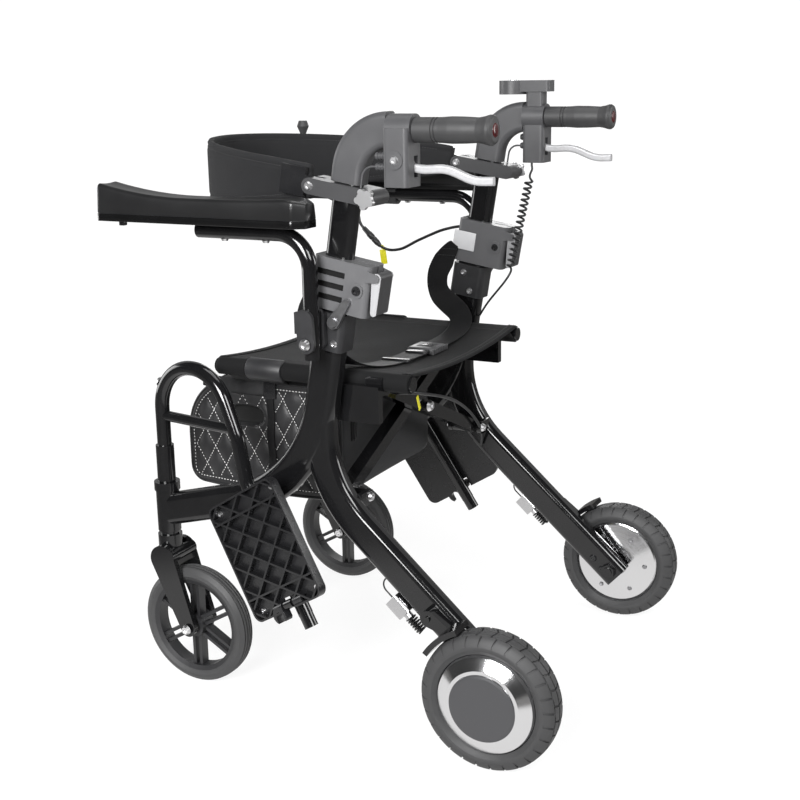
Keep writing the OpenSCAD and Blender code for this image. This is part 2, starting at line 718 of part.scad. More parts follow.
// Padded band of the backrest: half an ellipse in plan, tallest in its middle
module backrest_band() {
    steps = 30;
    half_x = frame_x - plate_half - band_t / 2 - seat_gap_soft;
    section = [[-0.5, -0.44], [-0.3, -0.5], [0.3, -0.5], [0.5, -0.44], [0.5, 0.44], [0.3, 0.5], [-0.3, 0.5],
        [-0.5, 0.44]];
    place = function (a) [half_x * cos(a), band_y + 26 - band_depth * sin(a) - 26 * (1 - cos(2 * a)) / 2, band_z];
    ring = function (a)
        let (p = place(a), out = unit([cos(a) * band_depth, -sin(a) * half_x, 0]),
            h = band_end_h + (band_h - band_end_h) * pow(sin(a), 0.8))
        [for (q = section) p + q[0] * band_t * out + [0, 0, q[1] * h]];
    color(fabric) loft([for (i = [0:steps]) ring(180 * i / steps)]);
}

// Steps of a bent tube through corner points in a plane, each inner corner with its bend radius
function heading(a, b) = atan2(b[1] - a[1], b[0] - a[0]);
function tube_steps(p, r) =
    let (n = len(p),
        turn = [for (i = [1:n - 2]) heading(p[i - 1], p[i]) - heading(p[i], p[i + 1])],
        cut = concat([0], [for (i = [1:n - 2]) r[i - 1] * tan(abs(turn[i - 1]) / 2)], [0]))
    [for (i = [0:n - 2]) each concat([["go", norm(p[i + 1] - p[i]) - cut[i] - cut[i + 1]]],
        i < n - 2 ? [["bend", r[i] * sign(turn[i]), abs(turn[i])]] : [])];

// Footrest hanger: sleeve on the head tube's spigot, arch, cross-bar and the leg that carries the plate
module footrest_hanger() {
    foot = [0, sleeve_low + sleeve_h - 4];
    down = [sin(foot_lean), -cos(foot_lean)];
    tip = foot_end - stub_l * down;
    corners = [foot, [0, arch_z], [hanger_bend + arch_run + 4, arch_z], hip, knee, tip];
    color(frame_black) {
        difference() {
            union() {
                translate([frame_x, stem_y, sleeve_low]) cylinder(d = hanger_d + 6, h = sleeve_h);
                hanger_frame() translate([foot[0], foot[1], 0]) rotate([-90, 0, 0])
                    run(tube_steps(corners, [hanger_bend, hanger_bend, 60, 60])) circle(d = hanger_d);
                hanger_frame() translate([0, arch_z - 82, 0]) rotate([0, 90, 0])
                    cylinder(d = hanger_d - 6, h = hip[0] - 6);
                hanger_frame() translate([tip[0] - 2 * down[0], tip[1] - 2 * down[1], 0])
                    rotate([0, 0, 180 + foot_lean]) rotate([-90, 0, 0]) cylinder(d = hanger_d - 1, h = stub_l + 2);
            }
            translate([frame_x, stem_y, sleeve_low - 1])
                cylinder(d = hanger_d - 6 + 2 * pin_gap, h = sleeve_h - 6);
        }
        plate_pin();
    }
}

// Lug and cross pin near the end of the hanger's leg, on which the footplate folds
module plate_pin() {
    drop = plate_out + plate_t / 2;
    plate_frame() translate([0, plate_pin_up, 0]) {
        translate([-lug_half, -7, -drop]) cube([2 * lug_half, 14, drop]);
        rod_x(-lug_half, lug_half, 0, -drop, 14);
        rod_x(-26, 26, 0, -drop, 7);
    }
}

// Footplate: a rim, a skin on the inside and a lattice of diamond ribs on the outside
module footplate() {
    skin = 3;
    rib = 3;
    pitch = plate_l / rib_rows;
    lean = atan(plate_w / 3 / pitch);
    color(dark_plastic) plate_frame() translate([0, plate_low, -plate_out]) difference() {
        union() {
            translate([0, plate_l / 2, -skin]) linear_extrude(skin) rounded(plate_w, plate_l, 14);
            translate([0, plate_l / 2, -plate_t]) linear_extrude(plate_t) difference() {
                rounded(plate_w, plate_l, 14);
                rounded(plate_w - 2 * rib, plate_l - 2 * rib, 14 - rib);
            }
            intersection() {
                translate([0, plate_l / 2, -plate_t + 1.5]) linear_extrude(plate_t - 2)
                    rounded(plate_w - rib, plate_l - rib, 13);
                for (way = [-1, 1], k = [-rib_rows:2 * rib_rows])
                    translate([0, k * pitch, -plate_t + 1.5]) rotate([0, 0, way * (90 - lean)])
                        translate([-plate_l, -rib / 2, 0]) cube([2 * plate_l, rib, plate_t - 2]);
            }
            for (y = [34, plate_l - 30]) translate([-plate_w / 2 + 1, y, -plate_t])
                cube([plate_w - 2, rib, plate_t - 1]);
            translate([0, plate_pin_up - plate_low, -plate_t / 2]) rotate([0, 90, 0])
                cylinder(d = plate_t, h = 64, center = true);
            translate([-24, -2, -plate_t]) cylinder(d = 26, h = plate_t);
        }
        translate([-40, plate_pin_up - plate_low, -plate_t / 2]) rotate([0, 90, 0])
            cylinder(d = 7 + 2 * pin_gap, h = 80);
        translate([-24, -4, -plate_t - 1]) cylinder(d = 15, h = plate_t + 2);
        translate([-31.5, -24, -plate_t - 1]) cube([15, 20, plate_t + 2]);
        translate([-13, -20, -plate_t - 1]) cube([26, plate_pin_up - plate_low + 30, plate_t + 2]);
    }
}

// Caster fork: stem, crown and two arms, with the wheel's axle
module caster_fork() {
    arm_t = 9;
    inner = caster_w / 2 + 4;
    crown_z = caster_d + 6;
    stem_low = head_mid_z - head_h / 2 - 6;
    hub = [wheel_y, caster_d / 2];
    color(frame_black) {
        translate([frame_x, stem_y, stem_low - 24]) cylinder(d = head_d + 2, h = 24);
        translate([frame_x, stem_y, stem_low - 1]) cylinder(d = head_d - 6, h = 7 - pin_gap);
        translate([frame_x, stem_y, stem_low]) cylinder(d = stem_d, h = head_h - 10);
        link_x(frame_x - inner - arm_t, frame_x + inner + arm_t, [stem_y, crown_z + 12], 24,
            [stem_y + 16, crown_z + 13], 22);
        for (x = [-inner - arm_t, inner])
            link_x(frame_x + x, frame_x + x + arm_t, [stem_y + 4, crown_z + 8], 44, hub, 26);
        rod_x(frame_x - inner - arm_t - 4, frame_x + inner + arm_t + 4, hub[0], hub[1], 9);
    }
}

// Caster rim: hub, double spokes and ring
module caster_rim() {
    r = caster_rim_d / 2;
    color(dark_plastic) translate([frame_x, wheel_y, caster_d / 2]) rotate([0, 90, 0]) difference() {
        union() {
            translate([0, 0, -15]) cylinder(d = 36, h = 30);
            rotate_extrude() translate([r - 7, 0]) polygon([[0, -11], [7, -14], [7, 14], [0, 11]]);
            for (k = [0:caster_spokes - 1], side = [-1, 1]) rotate([0, 0, 360 * k / caster_spokes])
                translate([12, side * 6 - 2.5, -8]) cube([r - 16, 5, 16]);
        }
        translate([0, 0, -20]) cylinder(d = 9 + 2 * pin_gap, h = 40);
    }
}

// Caster tyre with grooves round its crown
module caster_tyre() {
    r0 = caster_rim_d / 2 + seat_gap;
    r1 = caster_d / 2;
    h = caster_w / 2;
    groove = function (x) [[r1 - abs(x) * 0.16, x - 1.6], [r1 - 2 - abs(x) * 0.16, x - 0.8],
        [r1 - 2 - abs(x) * 0.16, x + 0.8], [r1 - abs(x) * 0.16, x + 1.6]];
    color(rubber) translate([frame_x, wheel_y, caster_d / 2]) rotate([0, 90, 0]) rotate_extrude()
        polygon(concat([[r0, h - 3], [r0, -h + 3], [r0 + 6, -h], [r1 - 8, -h + 1.5]],
            groove(-9), groove(-3), groove(3), groove(9), [[r1 - 8, h - 1.5], [r0 + 6, h]]));
}

// Hub motor's turning shell: conical inner cover, drum, polished outer ring and flat cap
module hub_motor() {
    r = hub_d / 2;
    half = rear_w / 2;
    bore = axle_d / 2 + pin_gap;
    color(silver) translate([rear_x, axle_y, axle_z]) rotate([0, 90, 0]) rotate_extrude()
        polygon([[bore, -half + 2], [22, -half + 1], [r - 5, -half + 7], [r, -half + 10], [r, half - 8],
            [r - 3, half - 2], [cap_d / 2 + 5, half + 7], [cap_d / 2, half + 7], [cap_d / 2 - 1, half + 9],
            [cap_d / 2 - 4, half + 10], [0, half + 10], [0, half - 5], [bore, half - 5]]);
}

// Rear tyre with a centre groove and two shoulder grooves
module rear_tyre() {
    r0 = hub_d / 2 + seat_gap;
    r1 = rear_d / 2;
    h = rear_w / 2;
    color(rubber) translate([rear_x, axle_y, axle_z]) rotate([0, 90, 0]) rotate_extrude()
        polygon([[r0, h - 6], [r0, -h + 6], [r0 + 5, -h + 2], [r1 - 15, -h], [r1 - 6, -h + 4], [r1 - 2, -h + 10],
            [r1 - 3.5, -h + 11.5], [r1 - 1, -h + 13], [r1, -2.5], [r1 - 2.5, -1.2], [r1 - 2.5, 1.2], [r1, 2.5],
            [r1 - 1, h - 13], [r1 - 3.5, h - 11.5], [r1 - 2, h - 10], [r1 - 6, h - 4], [r1 - 15, h],
            [r0 + 5, h - 2]]);
}

// Brake shoe: a curved pad in front of the tyre, on an arm that turns on the leg
module brake_shoe() {
    gap = 2.5;
    pivot = shoe_pivot();
    color(frame_black) difference() {
        union() {
            translate([rear_x, axle_y, axle_z]) rotate([0, 90, 0]) rotate([0, 0, 246 - leg_slope])
                rotate_extrude(angle = 34) translate([rear_d / 2 + gap, -rear_w / 2 + 4]) square([8, rear_w - 8]);
            link_x(frame_x + rear_leg_t / 2 + 1, rear_x - rear_w / 2 + 10, pivot, 24,
                [axle_y, axle_z] + (rear_d / 2 + gap + 6) * [-cos(leg_slope + 4), sin(leg_slope + 4)], 14);
        }
        rod_x(frame_x, rear_x, pivot[0], pivot[1], 8 + 2 * pin_gap);
        translate([rear_x - rear_w, axle_y, axle_z]) rotate([0, 90, 0])
            cylinder(r = rear_d / 2 + gap, h = 2 * rear_w);
    }
}
function shoe_pivot() = [axle_y, axle_z] + 138 * [-cos(leg_slope), sin(leg_slope)];

// Cable adjuster and return spring under the leg, with the short run of cable between leg and adjuster
module brake_adjuster() {
    along = [cos(leg_slope), -sin(leg_slope)];
    under = [-sin(leg_slope), -cos(leg_slope)];
    place = function (up, off) let (q = [axle_y, axle_z] - up * along + off * under) [frame_x + 8, q[0], q[1]];
    off = rear_leg_w / 2 + 13;
    spring = coil_path(place(158, off), place(132, off), 7, 6, 8);
    near = off - rear_leg_w / 2 - seat_gap_soft;
    color(silver) {
        multmatrix_along(place(195, off)) {
            translate([0, 0, 0]) linear_extrude(30) rounded(20, 24, 4);
            translate([0, 0, 30]) cylinder(d = 12, h = 8 - seat_gap);
        }
        translate([frame_x + 8, 0, 0]) adjuster_foot();
    }
    color(frame_black) loft(wire_coil(spring, place(158, off), place(132, off), 3));
    color(rubber) multmatrix_along(place(192, off)) rotate([180, 0, 0]) rotate([0, 0, 90])
        run([["go", 17], ["bend", near, 90]], $slim = 0.94) circle(d = 2.4, $fn = 10);
    echo(spring_gap = coil_gap(spring, 8, 3));
}

// Lug that seats the adjuster on the underside of the leg
module adjuster_foot() {
    along = [cos(leg_slope), -sin(leg_slope)];
    under = [-sin(leg_slope), -cos(leg_slope)];
    q = [axle_y, axle_z] - 180 * along + (rear_leg_w / 2 + seat_gap) * under;
    translate([0, q[0], q[1]]) rotate([-leg_slope, 0, 0]) translate([-6, -8, -5]) cube([12, 16, 5]);
}

// Frame whose +Z runs down the rear leg from a point
module multmatrix_along(p) {
    translate(p) rotate([-90 - leg_slope, 0, 0]) children();
}

// Rings of a coiled wire: the first side of each ring faces away from the coil's axis
function wire_coil(path, a, b, d) = let (t = unit(b - a)) [for (i = [0:len(path) - 1])
    let (q = path[i] - a, out = q - (q * t) * t,
        ahead = path[min(i + 1, len(path) - 1)] - path[max(i - 1, 0)])
    wire_ring(path[i], ahead, out, d, 6)];

// One half of the cross-brace, drawn for the bar that starts at the left frame
module brace_bar(bar_y, far_pin) {
    sleeve = 2 * bar_w + bar_gap + 3;
    difference() {
        union() {
            rod_y(brace_x, brace_y - sleeve / 2, brace_y + sleeve / 2, brace_z, brace_pin_d + 2 * sleeve_wall);
            translate([brace_x, bar_y, brace_z]) rotate([0, 180 + bar_angle, 0])
                translate([0, 0, -bar_t / 2]) cube([bar_l, bar_w, bar_t]);
            rod_y(-rail_x, rail_y, rail_y + rail_l, rail_z, rail_d);
            if (far_pin) rod_y(0, bar_y, bar_b_y + bar_w + 6, cross_z, 12);
        }
        rod_y(brace_x, brace_y - sleeve, brace_y + sleeve, brace_z, brace_pin_d + 2 * pin_gap);
        if (!far_pin) rod_y(0, bar_y - 1, bar_y + bar_w + 1, cross_z, 12 + 2 * pin_gap);
    }
}

// Brace bar from the left frame up to the right seat rail, with the centre pin
module brace_a() {
    color(frame_black) brace_bar(bar_a_y, true);
}

// Brace bar from the right frame up to the left seat rail
module brace_b() {
    color(frame_black) mirror([1, 0, 0]) brace_bar(bar_b_y, false);
}

// Seat fabric: sleeves round both rails and a sagging sheet between them
module seat_sling() {
    steps = 16;
    r_in = rail_d / 2 + seat_gap_soft;
    r_out = r_in + seat_t;
    long = rail_l - 8;
    top = function (s) [rail_x * s, r_in + seat_t * 0.1 - seat_sag * (1 - s * s)];
    bar_room = 2 * bar_w + bar_gap + 12;
    color(fabric) difference() {
        union() {
            for (x = [-rail_x, rail_x]) rod_y(x, rail_y + 4, rail_y + 4 + long, rail_z, 2 * r_out);
            translate([0, rail_y + 3 + long, rail_z]) rotate([90, 0, 0]) linear_extrude(long - 2)
                polygon(concat([for (i = [0:steps]) top(2 * i / steps - 1) + [0, seat_t * 0.8]],
                    [for (i = [0:steps]) top(1 - 2 * i / steps)]));
        }
        for (x = [-rail_x, rail_x]) rod_y(x, rail_y, rail_y + rail_l, rail_z, 2 * r_in);
        for (x = [-1, 1]) translate([x * (rail_x - 6), brace_y, rail_z - 4])
            cube([28, bar_room, 25.4], center = true);
    }
}

// Lap belt: two straps lying on the seat, and the buckle between them
module seat_belt() {
    w = 38;
    t = 1.8;
    buckle = [0, brace_y + 20, rail_z + rail_d / 2 - seat_sag + seat_t + 6];
    lie = rail_z + rail_d / 2 + seat_t + 2.5;
    x0 = frame_x - clamp_half - t / 2 - 0.4;
    hang = waist_z + clamp_low;
    route = [[x0, post_y(hang) - 6, hang + 30], [x0, post_y(hang) - 36, hang + 2],
        [x0 - 1, post_y(hang) - 58, hang - 26], [x0 - 3, post_y(hang) - 52, hang - 58],
        [x0 - 16, brace_y - 12, lie + 12], [x0 - 52, brace_y + 6, lie - 2], [x0 - 110, brace_y + 16, lie - 8.5],
        [26, brace_y + 20, buckle[2]]];
    across = function (p, q) unit([0, 1, 0] - ([0, 1, 0] * unit(q - p)) * unit(q - p));
    strap = smooth(route, 6);
    n = len(strap);
    edge = [0.5, 0.17, -0.17, -0.5];
    section = concat([for (e = edge) [e, 0.5]], [for (e = edge) [-e, -0.5]]);
    rings = [for (i = [0:n - 1])
        let (a = strap[max(i - 1, 0)], b = strap[min(i + 1, n - 1)], u = across(a, b), v = cross(unit(b - a), u))
        [for (q = section) strap[i] + q[0] * w * u + q[1] * t * v]];
    color(fabric) {
        loft(rings);
        mirror([1, 0, 0]) loft(rings);
    }
    color(dark_plastic) translate(buckle + [-33, 0, 0]) rotate([90, 0, 90])
        linear_extrude(66) rounded(46, 10, 3);
}

// Bag under the seat: a closed padded shell with a rounded front, hung on two flaps from the rail sleeves
module bag() {
    color(fabric) {
        difference() {
            bag_body(0);
            bag_body(bag_wall);
        }
        bag_flap();
        mirror([1, 0, 0]) bag_flap();
    }
}

// Flap from the bag's top edge up to the sleeve round a seat rail
module bag_flap() {
    rail = [rail_x, rail_z];
    edge = [bag_w / 2 - bag_wall, bag_z + bag_h - 3];
    way = (edge - rail) / norm(edge - rail);
    side = [-way[1], way[0]] * 1.5;
    near = rail + way * (rail_d / 2 + seat_t + 2 * seat_gap_soft + 0.2);
    translate([0, bag_y + bag_l * 0.68, 0]) rotate([90, 0, 0]) linear_extrude(bag_l * 0.32)
        polygon([near - side, near + side, edge + side, edge - side]);
}

// The bag's outline from the side, drawn in by a wall
module bag_body(wall) {
    front_r = bag_h * 0.53;
    translate([-bag_w / 2 + wall, 0, 0]) rotate([90, 0, 90]) linear_extrude(bag_w - 2 * wall) {
        intersection() {
            translate([bag_y + front_r, bag_z + bag_h - front_r]) circle(front_r - wall);
            translate([bag_y - 1, bag_z + wall]) square([front_r + 2, bag_h]);
        }
        translate([bag_y + wall, bag_z + wall]) square([front_r * 1.2, bag_h - front_r - wall]);
        translate([bag_y + front_r, bag_z + wall]) square([bag_l - front_r - wall, bag_h - 2 * wall]);
    }
}

// Battery pack in the bag
module battery() {
    color(dark_plastic) translate([0, bag_y + bag_l / 2 + 20, bag_z + bag_wall + seat_gap_soft])
        linear_extrude(bag_h * 0.61) rounded(bag_w * 0.24, bag_l * 0.592, 8);
}

// Control pod on the right handle: disc, box and the saddle on the elbow
module control_pod() {
    pod_x = -frame_x;
    pod_y = elbow_end_y - 22;
    low = grip_z + elbow_w / 2 + 12;
    color(dark_plastic) difference() {
        union() {
            translate([pod_x, pod_y, low]) cylinder(d = pod_d, h = 22);
            translate([pod_x, pod_y + 38, low + 4]) linear_extrude(18) rounded(30, 58, 5);
            translate([pod_x, housing_y + housing_l / 2, grip_z + 15]) linear_extrude(low - grip_z - 8)
                rounded(24, housing_l - 8, 4);
        }
        rod_y(pod_x, housing_y - 5, housing_y + housing_l + 5, grip_z, 42 + 2 * seat_gap);
        translate([pod_x, pod_y, low + 14]) cylinder(d = 19 + 2 * pin_gap, h = 10);
    }
}

// Push button in the pod's disc
module control_button() {
    low = grip_z + elbow_w / 2 + 12;
    color(silver) translate([-frame_x, elbow_end_y - 22, low + 17.5]) {
        cylinder(d = 19, h = 4.5);
        translate([0, 0, 4.5]) cylinder(d = 16, h = 1.5);
    }
}

// Joystick box ahead of the right armrest's pad, with the arm that clamps it to the tube
module joystick_box() {
    x = joy_x();
    y = joy_y();
    z = joy_z();
    ring = 24;
    color(dark_plastic) difference() {
        union() {
            translate([x, y, z]) linear_extrude(46) rounded(46, 2 * joy_half, 8);
            translate([x, y, z + 45]) cylinder(d1 = 40, d2 = 26, h = 8);
            translate([x, y + 8, arm_z - 13]) linear_extrude(z - arm_z + 20) rounded(30, 24, 4);
            translate([x - 12, y + 7, arm_z - 12]) cube([24, arm_front + ring - y - 8, 14]);
            rod_y(-arm_x, arm_front - 1, arm_front + ring, arm_z, arm_tube_d + 12);
        }
        translate([x, y, z + 34]) cylinder(d = 22, h = 40);
        rod_y(-arm_x, arm_front - 0.3, arm_front + 60, arm_z, arm_tube_d + 2 * seat_gap);
        translate([-arm_x - 60, arm_front - 40, arm_z + arm_tube_d / 2 - 1]) cube([120, 100, 30]);
        translate([-arm_x + 10, arm_front - 2, arm_z - 40]) cube([40, ring + 20, 80]);
    }
}
function joy_x() = -pad_x;
function joy_y() = arm_y - joy_ahead;
function joy_z() = arm_z + 26;

// Gimbal ring in the box, which turns on the box's cross pins and carries the stick
module joystick_gimbal() {
    color(silver) translate([joy_x(), joy_y(), joy_z() + 42]) difference() {
        cylinder(d = 20, h = 5, center = true);
        cylinder(d = 13, h = 6, center = true);
    }
}

// Joystick: a ball in the gimbal, a stem and a knob
module joystick_stick() {
    color(rubber) translate([joy_x(), joy_y(), joy_z() + 42]) {
        sphere(d = 12);
        cylinder(d = 7, h = 37);
        translate([0, 0, 36]) cylinder(d1 = 10, d2 = 22, h = 14);
        translate([0, 0, 50]) cylinder(d1 = 22, d2 = 15, h = 10);
    }
}

// Curly cord from the right brake housing down to the back of the side frame
module coil_cord() {
    top = [-frame_x + 12, housing_y + 16, housing_z - seat_gap_soft];
    back = [0, cos(post_lean), -sin(post_lean)];
    a = [-frame_x + 30, housing_y + 20, housing_z - 22];
    b = [-frame_x + 34, post_y(612) + leg_w / 2 + 56, 612];
    low = [-frame_x + 8, post_y(527) + leg_w / 2 / cos(post_lean) + seat_gap_soft, 527];
    r = (curl_d - cord_d) / 2;
    coil = coil_path(a, b, r, cord_curls, 8);
    ends = 2;
    lead = smooth([top - [0, 0, cord_d], top + [2, 1, -12], coil[ends]], 3);
    tail = smooth([coil[len(coil) - 1 - ends], b + [4, -8, -20], low + 24 * back + [8, 0, 30],
        low + cord_d * back], 4);
    path = concat([top], [for (i = [0:len(lead) - 2]) lead[i]], [for (i = [ends:len(coil) - 1 - ends]) coil[i]],
        [for (i = [1:len(tail) - 1]) tail[i]], [low]);
    color(rubber) loft(wire(path, unit(a - b), cord_d, 6));
    echo(coil_cord_gap = coil_gap(coil, 8, cord_d));
}

// Cable from the joystick box, through an in-line connector, to the right post clamp
module joystick_cable() {
    d = 5;
    x = -frame_x + 12;
    clip = arm_z - 46;
    face = [-frame_x + 6, post_y(clip) - clamp_front / cos(post_lean) - seat_gap_soft, clip];
    exit = [joy_x() + 23 + seat_gap_soft, joy_y(), joy_z() + 15];
    route = [exit + [d, 0, 0], exit + [22, 18, -8], [x - 4, joy_y() + 70, arm_z + 4],
        [x, arm_y - 215, arm_z - 22], [x, arm_y - 200, arm_z - 51], [x - 1, arm_y - 161, arm_z - 87],
        [x - 3, arm_y - 128, arm_z - 90], [x - 6, arm_y - 92, arm_z - 73], [x - 6, arm_y - 53, arm_z - 56],
        face - [0, 20, 3], face - [0, d, 0]];
    plug = concat([exit], smooth(route, 4), [face]);
    color(rubber) loft(wire(plug, [0, 0, 1], d, 8));
}

on_side("side_frame") side_frame();
on_side("post_clamp") {
    post_clamp();
    color(grey_plastic) post_frame() clamp_ears();
}
on_side("clamp_lever") clamp_lever();
on_side("armrest_bracket") armrest_bracket();
on_side("armrest_tube") armrest_tube();
on_side("armrest_pad") armrest_pad();
on_side("armrest_lever") armrest_lever();
on_side("handle_post") handle_post();
on_side("handle_elbow") handle_elbow();
on_side("grip") grip();
on_side("brake_housing") brake_housing();
on_side("brake_lever") brake_lever();
on_side("backrest_arm") backrest_arm();
on_side("backrest_plate") backrest_plate();
on_side("footrest_hanger") footrest_hanger();
on_side("footplate") footplate();
on_side("caster_fork") caster_fork();
on_side("caster_rim") caster_rim();
on_side("caster_tyre") caster_tyre();
on_side("hub_motor") hub_motor();
on_side("rear_tyre") rear_tyre();
on_side("brake_shoe") brake_shoe();
on_side("brake_adjuster") brake_adjuster();
brace_a();
brace_b();
seat_sling();
seat_belt();
backrest_band();
bag();
battery();
control_pod();
control_button();
joystick_box();
joystick_gimbal();
joystick_stick();
coil_cord();
joystick_cable();
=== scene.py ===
# %% [markdown]
# # A rollator that is also a transport chair
# The chair has two bent side frames, a folding cross-brace, hub-motor wheels behind, casters in front, a
# sling seat, a padded backrest band and swing-away footrests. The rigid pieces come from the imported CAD
# model, which is loaded once and never moved. This script gives them finishes, and makes the cloth, cords
# and small hardware.

# %% Load the frame
import math

import bmesh
import bpy
from mathutils import Matrix, Vector
from mathutils.bvhtree import BVHTree


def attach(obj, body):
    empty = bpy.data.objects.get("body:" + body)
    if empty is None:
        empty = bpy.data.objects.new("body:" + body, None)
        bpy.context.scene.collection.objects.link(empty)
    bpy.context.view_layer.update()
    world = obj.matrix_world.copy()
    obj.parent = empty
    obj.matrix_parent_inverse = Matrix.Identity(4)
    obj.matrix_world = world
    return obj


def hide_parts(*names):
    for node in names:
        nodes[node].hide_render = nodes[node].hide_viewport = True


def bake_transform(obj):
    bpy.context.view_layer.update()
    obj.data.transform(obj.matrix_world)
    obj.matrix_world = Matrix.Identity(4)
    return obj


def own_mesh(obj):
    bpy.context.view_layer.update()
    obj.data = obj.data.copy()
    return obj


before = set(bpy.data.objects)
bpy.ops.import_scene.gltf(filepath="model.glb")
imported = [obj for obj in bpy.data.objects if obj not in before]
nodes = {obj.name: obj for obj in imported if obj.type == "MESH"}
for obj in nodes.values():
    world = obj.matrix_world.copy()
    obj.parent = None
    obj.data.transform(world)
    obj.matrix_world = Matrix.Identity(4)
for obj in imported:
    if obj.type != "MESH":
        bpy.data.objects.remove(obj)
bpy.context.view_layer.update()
scene = bpy.context.scene
scene.view_settings.view_transform = "Standard"
SIDES = {"left": 1, "right": -1}


# %% Angles and meshes
def degrees(start, stop, step):
    """Angles at even steps, given in degrees."""
    return [math.radians(v) for v in range(start, stop, step)]


def circle(count):
    """Angles at even steps round a circle."""
    return [2 * math.pi * k / count for k in range(count)]


def piece(name, points, faces, *finishes, edges=()):
    """A smooth-shaded mesh object at the origin."""
    mesh = bpy.data.meshes.new(name)
    mesh.from_pydata([tuple(p) for p in points], edges, faces)
    for finish in finishes:
        mesh.materials.append(finish.material)
    mesh.shade_smooth()
    made = bpy.data.objects.new(name, mesh)
    scene.collection.objects.link(made)
    return made


# %% [markdown]
# ## The camera
# The photograph was taken from the chair's left rear, a little above the handles. The angles, the lens and
# the place were found by matching both wheels' rims, so the camera is written as those numbers.

# %% Camera
CAMERA_PLACE = Vector((1.7553, 0.90195, 0.9301))
CAMERA_TURN = (117.29, 14.30, -0.93)
LENS_MM = 57.32


def aim(azimuth, elevation, roll):
    """Rotation of a camera at an azimuth and an elevation, rolled about its own line of sight."""
    a, e, r = (math.radians(v) for v in (azimuth, elevation, roll))
    back = Vector((math.sin(a) * math.cos(e), -math.cos(a) * math.cos(e), math.sin(e)))
    right = (-back).cross(Vector((0, 0, 1))).normalized()
    up = right.cross(-back)
    level, tall = right * math.cos(r) + up * math.sin(r), up * math.cos(r) - right * math.sin(r)
    return Matrix((level, tall, back)).transposed().to_euler()


camera = bpy.data.objects.new("camera", bpy.data.cameras.new("camera"))
scene.collection.objects.link(camera)
camera.location = CAMERA_PLACE
camera.rotation_euler = aim(*CAMERA_TURN)
camera.data.lens = LENS_MM
camera.data.sensor_width = 36
scene.camera = camera
print("camera at", tuple(CAMERA_PLACE))

# %% [markdown]
# ## Shader maths as plain expressions
# A finish is easier to read as a sum than as a list of links. `Wire` holds one output of a node, and its
# operators add Math nodes. `Finish` holds a material, and its one method `node` makes every other kind of
# node: settings are set first, because some of them change the sockets, and then values or wires go to the
# inputs.


# %% Wires
def operator(operation, turned=False):
    """A method that adds one Math node to the wire's finish."""

    def method(self, other=0.0):
        pair = (other, self) if turned else (self, other)
        return self.finish.node("ShaderNodeMath", {"operation": operation}, dict(enumerate(pair)))

    return method


class Wire:
    """One output socket of a finish."""

    def __init__(self, finish, socket):
        self.finish, self.socket = finish, socket

    __add__ = __radd__ = operator("ADD")
    __mul__ = __rmul__ = operator("MULTIPLY")
    __sub__, __rsub__ = operator("SUBTRACT"), operator("SUBTRACT", True)
    __gt__, __lt__ = operator("GREATER_THAN"), operator("LESS_THAN")
    size, root, wave = operator("ABSOLUTE"), operator("SQRT"), operator("SINE")
    least, most = operator("MINIMUM"), operator("MAXIMUM")


# %% Finishes
class Finish:
    """A material with one Principled shader."""

    def __init__(self, name, **sockets):
        self.material = bpy.data.materials.new(name)
        self.material.use_nodes = True
        self.tree = self.material.node_tree
        self.shader = self.tree.nodes["Principled BSDF"]
        for socket, value in sockets.items():
            self.set(socket.replace("_", " ").title(), value)

    def set(self, name, value):
        """Gives the shader's socket a value or a wire."""
        self.plug(self.shader.inputs[name], value)

    def plug(self, socket, value):
        """Gives any socket a value or a wire."""
        if isinstance(value, Wire):
            self.tree.links.new(value.socket, socket)
        else:
            socket.default_value = value

    def node(self, kind, settings=None, inputs=None, out=0):
        """One node of any kind, and a wire from one of its outputs."""
        made = self.tree.nodes.new(kind)
        for name, value in (settings or {}).items():
            setattr(made, name, value)
        for name, value in (inputs or {}).items():
            self.plug(made.inputs[name], value)
        return Wire(self, made.outputs[out])

    def split(self, vector):
        """The x, y and z of a vector."""
        first = self.node("ShaderNodeSeparateXYZ", None, {0: vector})
        return [Wire(self, socket) for socket in first.socket.node.outputs]

    def place(self):
        """Object coordinates, and their x, y and z, in metres."""
        point = self.node("ShaderNodeTexCoord", out="Object")
        return point, *self.split(point)

    def noise(self, point, scale, detail=2.0, stretch=None):
        """Noise from 0 to 1, stretched along an axis if asked."""
        if stretch:
            point = self.node("ShaderNodeMapping", None, {"Vector": point, "Scale": stretch})
        return self.node("ShaderNodeTexNoise", None, {"Vector": point, "Scale": scale, "Detail": detail})

    def cells(self, point, scale):
        """Distance to the nearest of many scattered points, for pores and pebbles."""
        return self.node("ShaderNodeTexVoronoi", None, {"Vector": point, "Scale": scale})

    def blend(self, factor, a, b):
        """A colour between two others, each of them a colour or a wire."""
        a, b = (c if isinstance(c, Wire) else (*c, 1.0) for c in (a, b))
        return self.node("ShaderNodeMix", {"data_type": "RGBA"}, {0: factor, 6: a, 7: b}, out=2)

    def bump(self, height, distance, strength=1.0):
        """Relief, with its depth in metres, on the shader's normal."""
        inputs = {"Height": height, "Distance": distance, "Strength": strength}
        self.set("Normal", self.node("ShaderNodeBump", None, inputs))


# %% [markdown]
# ## Studio
# The photograph has a white sweep and soft light from above and both sides. One bent sheet is floor and
# backdrop. Its material shows white to the camera, apart from a share that still takes the chair's shadow.
# Mirror rays see a bright floor, a grey wall and a dark room instead, so that gloss paint stays black and
# metal has contrast.

# %% Floor and backdrop
FLOOR_GAP = 0.0003


